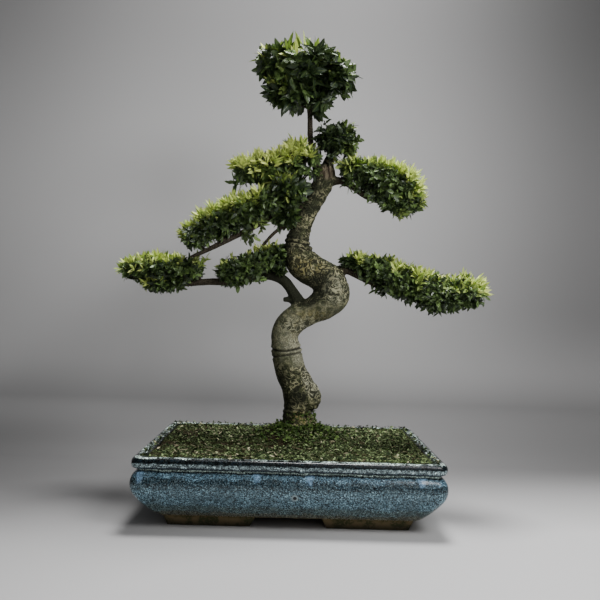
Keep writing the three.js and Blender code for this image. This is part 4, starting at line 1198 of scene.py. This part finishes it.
def glaze_material(settings):
    """Speckled glaze by height: pale and broken on the rim's two edges, with a painted glint on the rim's
    top, near black between them, a painted pale line in the shaded groove below the rim, a pale speckled roll
    and then a navy shoulder under the rim, and an even slate blue on the wall. Two sizes of pale and dark
    specks brighten and darken it, the drips are lighter, and the front has one pinhole."""
    material, tree, shader = start_material("glaze", 0.2, 0.22)
    shader.inputs["Coat Weight"].default_value = 0.1
    shader.inputs["Coat Roughness"].default_value = 0.08
    place, across, depth, height = object_place(tree)
    wave = node(tree, "TexNoise", {"Vector": place, "Scale": 45.0, "Detail": 4.0}).outputs[0]
    fine = node(tree, "TexNoise", {"Vector": place, "Scale": 420.0, "Detail": 2.0}).outputs[0]

    # Bands by height, whose edges waver.
    shift = times(tree, minus(tree, wave, 0.5), 0.004)
    shift = plus(tree, shift, times(tree, minus(tree, fine, 0.5), 0.003))
    shift = times(tree, shift, eased(tree, height, 0.078, 0.086, 4.0, 1.5))
    level = times(tree, plus(tree, height, shift), 1 / (GLAZE_REACH * MM))
    ramp = node(tree, "ValToRGB", {0: level})
    elements = ramp.color_ramp.elements
    stops = [(z, name) for name, *heights in GLAZE_BANDS for z in heights]
    while len(elements) < len(stops):
        elements.new(0.5)
    for element, (z, name) in zip(elements, stops):
        element.position = z / GLAZE_REACH
        element.color = opaque(getattr(settings, name))
    colour = ramp.outputs[0]

    # Grains, which also fleck the wall.
    on_wall = eased(tree, height, 0.092, 0.086)
    thin = eased(tree, wave, 0.35, 0.65, 0.3, 1.0)
    grains = []
    for size, pale, bright in GLAZE_GRAINS:
        speck = node(tree, "TexVoronoi", {"Vector": place, "Scale": 1 / (size * MM), "Randomness": 1.0})
        grain = node(tree, "SeparateColor", {0: speck.outputs["Color"]}).outputs[0]
        gain = times(tree, times(tree, eased(tree, grain, pale, pale + 0.1), thin), bright)
        gain = plus(tree, minus(tree, gain, eased(tree, grain, 0.34, 0.24, 0.0, 0.75)), 1.0)
        colour = node(tree, "VectorMath", {0: colour, "Scale": gain}, operation="SCALE").outputs[0]
        share = times(tree, eased(tree, grain, pale, pale + 0.1, 0.0, 0.15), on_wall)
        colour = mixed(tree, share, colour, settings.glaze_fleck)
        grains.append(grain)

    # Dark breaks on the rim, drips, the pinhole with its halo, and bare clay under the foot line.
    broken = times(tree, patches(tree, 5, 0.5, 0.62, 4, 2.5), minus(tree, 1.0, on_wall))
    colour = mixed(tree, times(tree, broken, 0.7), colour, settings.glaze_dark)
    run = times(tree, attribute(tree, "run"), eased(tree, grains[0], 0.1, 0.9, 0.3, 0.9))
    colour = mixed(tree, run, colour, settings.glaze_run)
    from_hole = {0: minus(tree, across, PINHOLE[0]), 1: minus(tree, height, PINHOLE[1])}
    from_hole = node(tree, "CombineXYZ", from_hole).outputs[0]
    off = node(tree, "VectorMath", {0: from_hole}, operation="LENGTH").outputs["Value"]
    in_front = reckon(tree, "LESS_THAN", depth, 0.0)
    halo = times(tree, eased(tree, off, 0.0058, 0.0042, 0.0, 0.6), in_front)
    colour = mixed(tree, halo, colour, (0.3, 0.36, 0.36))
    pinhole = times(tree, eased(tree, off, 0.0032, 0.0022), in_front)
    colour = mixed(tree, pinhole, colour, (0.002, 0.003, 0.004))
    colour = mixed(tree, eased(tree, height, 0.0195, 0.018), colour, settings.clay)
    paint(tree, shader, colour)
    tree.links.new(eased(tree, grains[0], 0.0, 1.0, 0.16, 0.34), shader.inputs["Roughness"])
    bump(tree, shader, plus(tree, times(tree, grains[0], 0.4), wave), 0.35, 0.5)
    return material


def feet_surface():
    """Four L-shaped feet: an L outline with rounded corners, stacked from the ground up, whose outer sides
    and ends lean in towards the ground, with the clay's slight waves. Each has its flat top and bottom as
    one face."""
    out_x, out_y = POT_HALF[0] - FOOT["inset"], POT_HALF[1] - FOOT["inset"]
    points, faces, start = [], [], 0
    for sign_x, sign_y in ((1, 1), (-1, 1), (-1, -1), (1, -1)):
        rings = []
        for share in np.linspace(1, 0, 8):
            far_x, far_y = out_x - FOOT["outer"] * share, out_y - FOOT["outer"] * share
            near_x = out_x - FOOT["bar"] + FOOT["room"] * share
            near_y = out_y - FOOT["bar"] + FOOT["room"] * share
            end_x, end_y = FOOT["gap"][0] + FOOT["inner"] * share, FOOT["gap"][1] + FOOT["inner"] * share
            corners = [[far_x, end_y], [far_x, far_y], [end_x, far_y], [end_x, near_y], [near_x, near_y]]
            corners = np.array([*corners, [near_x, end_y]]) * [sign_x, sign_y]
            if sign_x * sign_y < 0:
                corners = corners[::-1]
            sides = zip(corners, np.roll(corners, -1, 0))
            ring = np.concatenate([a + (b - a) * np.linspace(0, 1, 26)[:-1, None] for a, b in sides])
            for _ in range(3):
                ring = 0.25 * np.roll(ring, 1, 0) + 0.5 * ring + 0.25 * np.roll(ring, -1, 0)
            rings.append(np.column_stack([ring, np.full(len(ring), FOOT["height"] * (1 - share))]))
        flat = np.concatenate(rings)
        points.append(flat + 0.3 * layered_noise(flat, 14, 83)[:, None] * np.sign(flat) * [1, 1, 0])
        bottom = np.arange(len(ring))[None] + start
        top = bottom + len(flat) - len(ring)
        faces += [grid_faces(len(rings), len(ring)) + start, bottom[:, ::-1], top]
        start += len(flat)
    return np.concatenate(points), faces


def clay_material(settings):
    """Unglazed brown clay, stained with damp in greener patches, and darker towards the ground, which is
    painted shade under the pot.
    """
    material, tree, shader = start_material("raw clay", 0.85, 0.25)
    height = object_place(tree)[3]
    colour = mixed(tree, patches(tree, 16, 0.4, 0.6, 5), settings.clay, (0.05, 0.055, 0.022))
    colour = mixed(tree, patches(tree, 3, 0.5, 0.7, 4), colour, (0.17, 0.12, 0.065))
    # Painted shade: darker towards the ground.
    colour = mixed(tree, eased(tree, height, 0.013, 0.0, 0.0, 0.8), colour, (0.014, 0.014, 0.008))
    paint(tree, shader, colour)
    bump(tree, shader, patches(tree, 1.2, 0.3, 0.7, 5), 0.4)
    return material


def soil_share(x, y):
    """How far out on the soil a place is, from 0 in the middle to 1 at the wall."""
    return np.maximum(np.abs(x) / SOIL_HALF[0], np.abs(y) / SOIL_HALF[1])


def soil_level(x, y):
    """The soil's height: level at the wall, a mound round the tree's foot and a little relief, as in the
    CAD part."""
    inside = np.maximum(0, 1 - soil_share(x, y) ** 4)
    r = np.hypot(x - MOUND["x"], y - MOUND["y"]) / MOUND["reach"]
    waves = np.sin(x / 17 + 1) * np.cos(y / 14) + np.sin((x + y) / 31)
    return SOIL_EDGE_HEIGHT + inside * (MOUND["height"] * np.exp(-r * r) + 1.5 * (1 + waves))


def moss_level(x, y):
    """The moss's height and how well it covers the soil: cushions where the nearest of many random points is
    near, over slow swells, with a bank along the wall. It is patchy, and thinner to the left."""
    flat = np.stack([x, y, np.zeros_like(x)], -1)
    near = cell_distance(flat, 9, 91)
    fine = cell_distance(flat, 3.6, 93)
    cover = ease(layered_noise(flat, 30, 97) + 0.001 * x, -0.62, -0.12)
    cushions = 2.6 * np.sqrt(np.clip(1 - near**2, 0, 1)) + 1.1 * (1 - np.clip(fine, 0, 1))
    bank = 4.2 * ease(soil_share(x, y), 0.8, 0.95)
    return soil_level(x, y) + cover * cushions + 1.4 * layered_noise(flat, 22, 99) + bank, cover


def moss_surface():
    """The filled pot's contents: a fine grid of moss over the soil, drawn in to the wall's outline, and
    closed below by the wall's own rings."""
    outline = wall_outline(16.9, MOSS_STEPS)
    rings = []
    for share in np.concatenate([np.linspace(1, 0.93, 4), np.linspace(0.93, 0.03, 64)[1:]]):
        x, y = (outline * share).T
        z, _ = moss_level(x, y)
        z = z - 2.0 * ease(share, 0.975, 1.0)
        rings.append(np.column_stack([x, y, z]))
    lower = [wall_ring(inset + 0.4, max(z, 28.4), MOSS_STEPS) for inset, z in INNER_WALL[:1:-1]]
    return closed_skin(np.array(lower + rings))


def moss_material(settings):
    """Moss: crumbs of yellow-green over deep green, with gaps of dark earth between them that also paint the
    shade between the crumbs, and browner where it is thin."""
    material, tree, shader = start_material("moss", 0.95, 0.04)
    green = mixed(tree, patches(tree, 14, 0.4, 0.62, 4), settings.moss_dark, settings.moss_green)
    tips = times(tree, patches(tree, 2.2, 0.52, 0.6, 3), 0.7)
    green = mixed(tree, tips, green, settings.moss_yellow)
    bare = minus(tree, 1.0, attribute(tree, "cover"))
    bare = reckon(tree, "MAXIMUM", bare, times(tree, patches(tree, 3, 0.47, 0.56, 4), 0.95))
    # The near-black earth also paints the shade in the gaps between the crumbs.
    earth_and_shade = mixed(tree, patches(tree, 2, 0.45, 0.6, 4), settings.earth_and_shade, (0.06, 0.045, 0.025))
    colour = mixed(tree, bare, green, earth_and_shade)
    paint(tree, shader, colour)
    bump(tree, shader, patches(tree, 1.2, 0.3, 0.7, 5), 0.8)
    return material


def scattered(count, random):
    """Places on the moss, evenly random over the soil, clear of the tree's foot."""
    x = random.uniform(-1, 1, count * 2) * SOIL_HALF[0] * 0.95
    y = random.uniform(-1, 1, count * 2) * SOIL_HALF[1] * 0.95
    clear = np.hypot(x - MOUND["x"], y - MOUND["y"]) > 36
    return x[clear][:count], y[clear][:count]


def lying(count, rise, tilt, random):
    """The ways and the ups of bits that lie any way round. They rise along their way by a random amount, of
    which rise is the mean and the spread, and their faces tilt a little from level."""
    turn = random.uniform(0, 2 * math.pi, count)
    way = np.column_stack([np.cos(turn), np.sin(turn), random.normal(*rise, count)])
    return way, unit(np.column_stack([random.normal(0, tilt, (count, 2)), np.ones(count)]))


def build_crumbs(material, random):
    """Moss crumbs: small broad flakes that lie on the cushions and along the wall's lip, or stand a little up
    from them. They are mostly dark or light, in patches, and darker near the wall."""
    x, y = scattered(CRUMBS, random)
    z, cover = moss_level(x, y)
    keep = cover > random.uniform(0, 0.7, len(x))
    lip = wall_outline(12.5, LIP_CRUMBS) + random.uniform(-4.5, 4.5, (LIP_CRUMBS, 2))
    x, y = np.append(x[keep], lip[:, 0]), np.append(y[keep], lip[:, 1])
    z = np.append(z[keep], random.uniform(107.5, 110.5, LIP_CRUMBS))
    count = len(x)
    way, up = lying(count, (0.45, 0.45), 0.35, random)
    roots = np.column_stack([x, y, z - 0.3 + random.uniform(0, 1.2, count)])
    length = random.uniform(2.5, 7.5, count)
    dark = 0.2 * ease(soil_share(x, y), 0.78, 0.95)
    tint = random.beta(0.28, 0.85, count) + 0.36 * layered_noise(roots, 25, 111) - dark
    dry = (random.random(count) < ease(x, 60, -160) * 0.06 + 0.04).astype(float)
    width, fold = random.uniform(0.4, 0.75, count), random.uniform(-0.2, 0.5, count)
    droop = random.uniform(0, 0.4, count)
    shape = [roots, way, up, length, width, fold, droop, np.clip(tint, 0, 1), dry]
    blade_piece("moss_crumbs", shape, FLAKE, material, "soil")


def build_litter(material, random):
    """Dry bits on the moss: thin bark slivers and small dead leaves that lie nearly flat."""
    x, y = scattered(LITTER, random)
    z, _ = moss_level(x, y)
    count = len(x)
    way, up = lying(count, (0, 0.12), 0.25, random)
    sliver = random.random(count) < 0.55
    length = np.where(sliver, random.uniform(9, 20, count), random.uniform(5, 11, count))
    width = np.where(sliver, 0.11, 0.4)
    fold, droop = random.uniform(-0.4, 0.5, count), random.uniform(-0.1, 0.2, count)
    roots = np.column_stack([x, y, z + 1.6])
    shape = [roots, way, up, length, width, fold, droop, random.beta(0.8, 1.6, count), np.zeros(count)]
    blade_piece("dry_litter", shape, LANCE_LEAF, material, "soil")


def build_weeds(material, random):
    """Small round leaves that climb the foot of the trunk, on rings that shrink with height, and more of
    them strewn on the moss in front of it."""
    angle = random.uniform(0, 2 * math.pi, CLIMBING_WEEDS)
    climb = 34 * random.random(CLIMBING_WEEDS) ** 1.6
    z = WEEDS_FROM + climb
    radius = 31 - 0.22 * (z - WEEDS_FROM) + random.uniform(0, 12, CLIMBING_WEEDS) * (climb < 14)
    angle = np.append(angle, random.uniform(-math.pi, 0, STREWN_WEEDS))
    radius = np.append(radius, 36 + 52 * random.random(STREWN_WEEDS) ** 1.3)
    z = np.append(z, np.zeros(STREWN_WEEDS))
    count = len(z)
    x, y = MOUND["x"] + radius * np.cos(angle), MOUND["y"] + radius * np.sin(angle)
    roots = np.column_stack([x, y, np.maximum(z, moss_level(x, y)[0] + 1)])
    out = np.column_stack([np.cos(angle), np.sin(angle), np.full(count, 0.6)])
    way = unit(out + random.normal(0, 0.5, (count, 3)))
    up = unit(out * [1, 1, 2] + random.normal(0, 0.3, (count, 3)))
    length, width = random.uniform(4, 8.5, count), random.uniform(0.45, 0.75, count)
    fold, droop = random.uniform(0, 0.4, count), random.uniform(0, 0.3, count)
    shape = [roots - way * 1.5, way, up, length, width, fold, droop, random.random(count), np.zeros(count)]
    blade_piece("foot_weeds", shape, FLAKE, material, "soil")


def tinted_material(name, dark, light, dry, roughness):
    """A dull finish between two colours by each bit's own tint, or dry, with a fine grain."""
    material, tree, shader = start_material(name, roughness, 0.12)
    colour = mixed(tree, attribute(tree, "tint"), dark, light)
    colour = mixed(tree, attribute(tree, "youth"), colour, dry)
    colour = mixed(tree, times(tree, patches(tree, 1.0), 0.3), colour, dark)
    paint(tree, shader, colour)
    return material


# Settings


def colour_property(name, description, default):
    """A colour that the user can change."""
    return bpy.props.FloatVectorProperty(
        name=name, description=description, default=default, subtype="COLOR", size=3, min=0, max=1
    )


def number_property(name, description, default, **limits):
    """A number that the user can change, with its unit or its limits."""
    return bpy.props.FloatProperty(name=name, description=description, default=default, **limits)


class BonsaiTreeSettings(bpy.types.PropertyGroup):
    bark_grain: number_property("Bark grain", "Size of the finest forms in the bark", 0.0016, unit="LENGTH")
    bark: colour_property("Bark", "Colour of the smooth bark", (0.2, 0.2, 0.135))
    bark_green: colour_property("Green bark", "Colour of its green film", (0.1, 0.11, 0.05))
    bark_crest: colour_property("Crests", "Colour of the winding crests", (0.46, 0.44, 0.25))
    bark_warm: colour_property("Warm bark", "Colour of its yellow-brown marks", (0.36, 0.31, 0.12))
    bark_dark: colour_property("Bark lines", "Colour of the lines between the crests", (0.018, 0.02, 0.01))
    # Also paints the highlight on the bark's lit right side.
    bark_pale: colour_property("Worn bark", "Colour of the worn bends", (0.52, 0.51, 0.37))
    leaf_scale: number_property("Leaf size", "Size of all leaves against the real", 1.0, min=0.5, max=1.5)
    shoot_density: number_property("Shoot density", "Shoots on each square of a leaf's length", 0.92, min=0.1)
    leaf_dark: colour_property("Dark leaf", "Colour of the darkest leaves", (0.012, 0.027, 0.011))
    leaf_green: colour_property("Leaf", "Colour of the lightest mature leaves", (0.14, 0.23, 0.06))
    young_green: colour_property("Young leaf", "Colour of new leaves low on a shoot", (0.28, 0.43, 0.07))
    # Partly painted glow: as bright as young leaves look with light through them.
    young_yellow_glow: colour_property("Newest leaf", "Colour of the newest leaves", (0.84, 0.93, 0.27))


class BonsaiPotSettings(bpy.types.PropertyGroup):
    glaze_foot: colour_property("Bare line", "Colour where the glaze ends", (0.07, 0.075, 0.05))
    glaze_low: colour_property("Low glaze", "Colour low on the wall", (0.045, 0.08, 0.085))
    glaze_wall: colour_property("Wall glaze", "Colour of the wall", (0.066, 0.125, 0.16))
    glaze_shade: colour_property("Shaded glaze", "Colour beside the darkest bands", (0.035, 0.07, 0.09))
    glaze_navy: colour_property("Shoulder glaze", "Colour of the shoulder", (0.01, 0.03, 0.045))
    glaze_speckle: colour_property("Roll glaze", "Colour of the pale roll under the rim", (0.06, 0.12, 0.165))
    glaze_dark: colour_property("Dark glaze", "Colour where it lies thick", (0.006, 0.014, 0.022))
    glaze_edge: colour_property("Edge glaze", "Colour where it breaks over the rim", (0.19, 0.25, 0.26))
    glaze_black: colour_property("Band glaze", "Colour of the band round the rim", (0.002, 0.004, 0.004))
    # Pale aqua glaze that also paints a glint on the rim's top and a lit line in the groove below the rim.
    glaze_aqua: colour_property("Lip glaze", "Colour on the rim's top", (0.36, 0.45, 0.41))
    glaze_fleck: colour_property("Flecks", "Colour of its palest specks", (0.42, 0.5, 0.48))
    glaze_run: colour_property("Drip glaze", "Colour of the drips", (0.25, 0.42, 0.62))
    clay: colour_property("Clay", "Colour of the unglazed feet", (0.17, 0.13, 0.065))


class BonsaiSoilSettings(bpy.types.PropertyGroup):
    moss_dark: colour_property("Deep moss", "Colour of the moss in the shade", (0.008, 0.017, 0.004))
    moss_green: colour_property("Moss", "Colour of most of the moss", (0.022, 0.045, 0.008))
    moss_yellow: colour_property("Moss tips", "Colour of its tips", (0.31, 0.4, 0.18))
    # Also paints the shade in the gaps between the crumbs.
    earth_and_shade: colour_property("Earth", "Colour of the soil between the moss", (0.008, 0.007, 0.004))
    straw: colour_property("Straw", "Colour of the dry bits", (0.4, 0.38, 0.24))
    seed: bpy.props.IntProperty(name="Seed", description="Which random scatter is drawn", default=7, min=0)


class BonsaiStageSettings(bpy.types.PropertyGroup):
    backdrop: colour_property("Backdrop", "Colour of the floor at the front", (0.47, 0.465, 0.465))
    camera_height: number_property("Camera height", "From the floor to the camera", 0.322, unit="LENGTH")
    camera_distance: number_property(
        "Camera distance", "From the pot's middle to the camera", 1.192, unit="LENGTH"
    )
    top_power: number_property("Top light", "Power of the soft light overhead", 53.0, unit="POWER")
    front_power: number_property("Front light", "Power of the soft light over the front", 11.0, unit="POWER")
    fill_power: number_property("Fill light", "Power of the wide light beside the camera", 10.0, unit="POWER")
    room: number_property("Room light", "Strength of the light from all round", 0.1, min=0)


# Stage


def sweep_surface():
    """A photographer's sweep: a level floor that curves up into the backdrop, carried along X."""
    reach, bend_y, radius = SWEEP["reach"], SWEEP["bend_y"], SWEEP["radius"]
    turn = np.linspace(0, math.pi / 2, 24)
    bend = np.stack([bend_y + radius * np.sin(turn), radius - radius * np.cos(turn)], -1)
    profile = [[-reach, 0.0], *bend, [bend_y + radius, SWEEP["top"]]]
    points = np.array([[x, y, z] for y, z in profile for x in (-reach, reach)])
    start = np.arange(len(profile) - 1)[:, None] * 2
    return points, [np.concatenate([start, start + 1, start + 3, start + 2], 1)]


def backdrop_material(settings):
    """Studio paper of one colour with painted light and shade: palest on the floor in front, dimmer towards
    the back of the floor, and lighter again up the backdrop, which dims softly to both sides and at the top.
    The floor has a painted pool of light to the right and a painted shadow at the back on the left."""
    material, tree, shader = start_material("sweep", 0.8, 0.2)
    _, x, y, z = object_place(tree)
    # All these grades are painted light and shade on an even paper.
    floor_share = eased(tree, y, -0.45, 0.24, 1.0, 0.38)
    share = reckon(tree, "MAXIMUM", floor_share, eased(tree, z, 0.02, 0.22, 0.38, 0.95))
    side = times(tree, eased(tree, x, 0.0, 0.75, 1.0, 0.32), eased(tree, x, -0.35, -0.8, 1.0, 0.8))
    weight = plus(tree, eased(tree, y, 0.15, 0.4, 0.0, 0.65), eased(tree, z, 0.12, 0.36, 0.0, 0.35))
    dim = times(tree, minus(tree, 1.0, side), weight)
    # Painted pool of light: the floor lighter to the right.
    tilt = times(tree, eased(tree, x, -0.5, 0.35, -0.15, 0.42), eased(tree, y, 0.3, 0.05))
    # Painted shadow: darker at the back of the floor on the left.
    left_shadow = times(tree, eased(tree, y, -0.28, -0.02), eased(tree, z, 0.12, 0.02))
    left_shadow = times(tree, eased(tree, x, 0.0, -0.7, 0.0, 0.45), left_shadow)
    fade = eased(tree, z, 0.5, 1.15, 1.0, 0.4)
    for factor in (minus(tree, 1.0, dim), fade, plus(tree, tilt, 1.0), minus(tree, 1.0, left_shadow)):
        share = times(tree, share, factor)
    paint(tree, shader, mixed(tree, share, (0, 0, 0), settings.backdrop))
    return material


def area_light(name, place, target, size, power):
    """A square soft light at a place in metres, turned to a target."""
    data = bpy.data.lights.new(name, "AREA")
    data.shape = "SQUARE"
    data.size = size
    data.energy = power
    light = placed(name, data)
    light.location = place
    light.rotation_euler = (Vector(target) - Vector(place)).to_track_quat("-Z", "Y").to_euler()


# Operators


class BONSAI_OT_wood(bpy.types.Operator):
    """Build the trunk, roots and limbs with their bark"""

    bl_idname = "bonsai.wood"
    bl_label = "Wood"

    def execute(self, context):
        settings = context.scene.bonsai_tree
        points, faces, values = bark_surface(settings)
        make_piece("wood", points, faces, bark_material(settings), "bark", ["tree_wood"], values)
        return {"FINISHED"}


class BONSAI_OT_foliage(bpy.types.Operator):
    """Build each pad's leaves, young growth and twigs"""

    bl_idname = "bonsai.foliage"
    bl_label = "Foliage"

    def execute(self, context):
        settings = context.scene.bonsai_tree
        materials = {
            "leaf": leaf_material("mature leaf", settings, False),
            "young": leaf_material("young leaf", settings, True),
            "twig": twig_material(),
        }
        for name in PADS:
            build_pad(name, settings, materials)
        return {"FINISHED"}


class BONSAI_OT_pot(bpy.types.Operator):
    """Build the glazed pot and its unglazed feet"""

    bl_idname = "bonsai.pot"
    bl_label = "Pot"

    def execute(self, context):
        settings = context.scene.bonsai_pot
        points, faces = pot_surface()
        points, values = glaze_relief(points, faces)
        make_piece("glazed_pot", points, faces, glaze_material(settings), "glaze", ["pot"], values, sharp=50)
        make_piece("pot_feet", *feet_surface(), clay_material(settings), "glaze", ["pot"], sharp=40)
        for side in ("left", "right"):
            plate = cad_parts[f"drain_screen_{side}"]
            material, tree, shader = start_material(f"screen_{side}", 0.55, 0.4)
            colour = mixed(tree, patches(tree, 3), (0.012, 0.012, 0.013), (0.03, 0.028, 0.025))
            paint(tree, shader, colour)
            plate.data.materials.clear()
            plate.data.materials.append(material)
        return {"FINISHED"}


class BONSAI_OT_soil(bpy.types.Operator):
    """Build the moss over the soil, with its crumbs, weeds and litter"""

    bl_idname = "bonsai.soil"
    bl_label = "Soil and moss"

    def execute(self, context):
        settings = context.scene.bonsai_soil
        random = np.random.default_rng(settings.seed)
        points, faces = moss_surface()
        _, cover = moss_level(points[:, 0], points[:, 1])
        make_piece("moss_bed", points, faces, moss_material(settings), "soil", ["soil"], {"cover": cover})
        straw = settings.straw
        crumbs = tinted_material("moss crumbs", settings.moss_dark, settings.moss_yellow, straw, 0.8)
        build_crumbs(crumbs, random)
        weeds = tinted_material("foot weeds", (0.03, 0.07, 0.015), (0.16, 0.24, 0.06), straw, 0.5)
        build_weeds(weeds, random)
        build_litter(tinted_material("dry litter", (0.1, 0.075, 0.045), straw, straw, 0.8), random)
        return {"FINISHED"}


class BONSAI_OT_stage(bpy.types.Operator):
    """Build the sweep, the soft lights and the camera"""

    bl_idname = "bonsai.stage"
    bl_label = "Stage"

    def execute(self, context):
        scene = context.scene
        settings = scene.bonsai_stage
        mesh = new_mesh("sweep", *sweep_surface())
        mesh.shade_smooth()
        mesh.materials.append(backdrop_material(settings))
        placed("sweep", mesh)
        for name, place, target, size, power in LIGHTS:
            area_light(name, place, target, size, getattr(settings, power))
        world = bpy.data.worlds.new("room")
        scene.world = world
        world.use_nodes = True
        background = world.node_tree.nodes["Background"]
        background.inputs["Color"].default_value = (0.95, 0.97, 1, 1)
        background.inputs["Strength"].default_value = settings.room
        data = bpy.data.cameras.new("camera")
        data.lens = LENS
        data.sensor_width = SENSOR_WIDTH
        yaw, tilt, roll = (math.radians(angle) for angle in CAMERA_TURN)
        turn = Matrix.Rotation(yaw, 4, "Z") @ Matrix.Rotation(math.pi / 2 + tilt, 4, "X")
        place = Matrix.Translation((0, -settings.camera_distance, settings.camera_height))
        camera = placed("camera", data)
        camera.matrix_world = place @ turn @ Matrix.Rotation(roll, 4, "Z")
        scene.camera = camera
        return {"FINISHED"}


class BONSAI_PT_panel(bpy.types.Panel):
    bl_idname = "BONSAI_PT_panel"
    bl_label = "Bonsai"
    bl_space_type = "VIEW_3D"
    bl_region_type = "UI"
    bl_category = "Bonsai"

    def draw(self, context):
        for group, operators in PANEL_ROWS:
            settings = getattr(context.scene, group)
            column = self.layout.column()
            for name in settings.bl_rna.properties.keys():
                if name not in ("rna_type", "name"):
                    column.prop(settings, name)
            for operator in operators:
                column.operator(operator)


SETTINGS = {
    "bonsai_tree": BonsaiTreeSettings,
    "bonsai_pot": BonsaiPotSettings,
    "bonsai_soil": BonsaiSoilSettings,
    "bonsai_stage": BonsaiStageSettings,
}
PANEL_ROWS = [
    ("bonsai_tree", ["bonsai.wood", "bonsai.foliage"]),
    ("bonsai_pot", ["bonsai.pot"]),
    ("bonsai_soil", ["bonsai.soil"]),
    ("bonsai_stage", ["bonsai.stage"]),
]
CLASSES = [
    *SETTINGS.values(), BONSAI_OT_wood, BONSAI_OT_foliage, BONSAI_OT_pot, BONSAI_OT_soil, BONSAI_OT_stage,
    BONSAI_PT_panel,
]


def register():
    for item in CLASSES:
        bpy.utils.register_class(item)
    for name, settings in SETTINGS.items():
        setattr(bpy.types.Scene, name, bpy.props.PointerProperty(type=settings))


def unregister():
    for name in SETTINGS:
        delattr(bpy.types.Scene, name)
    for item in reversed(CLASSES):
        bpy.utils.unregister_class(item)


def main():
    register()
    bpy.ops.bonsai.stage()
    bpy.ops.bonsai.pot()
    bpy.ops.bonsai.soil()
    bpy.ops.bonsai.wood()
    bpy.ops.bonsai.foliage()


if __name__ == "__main__":
    main()
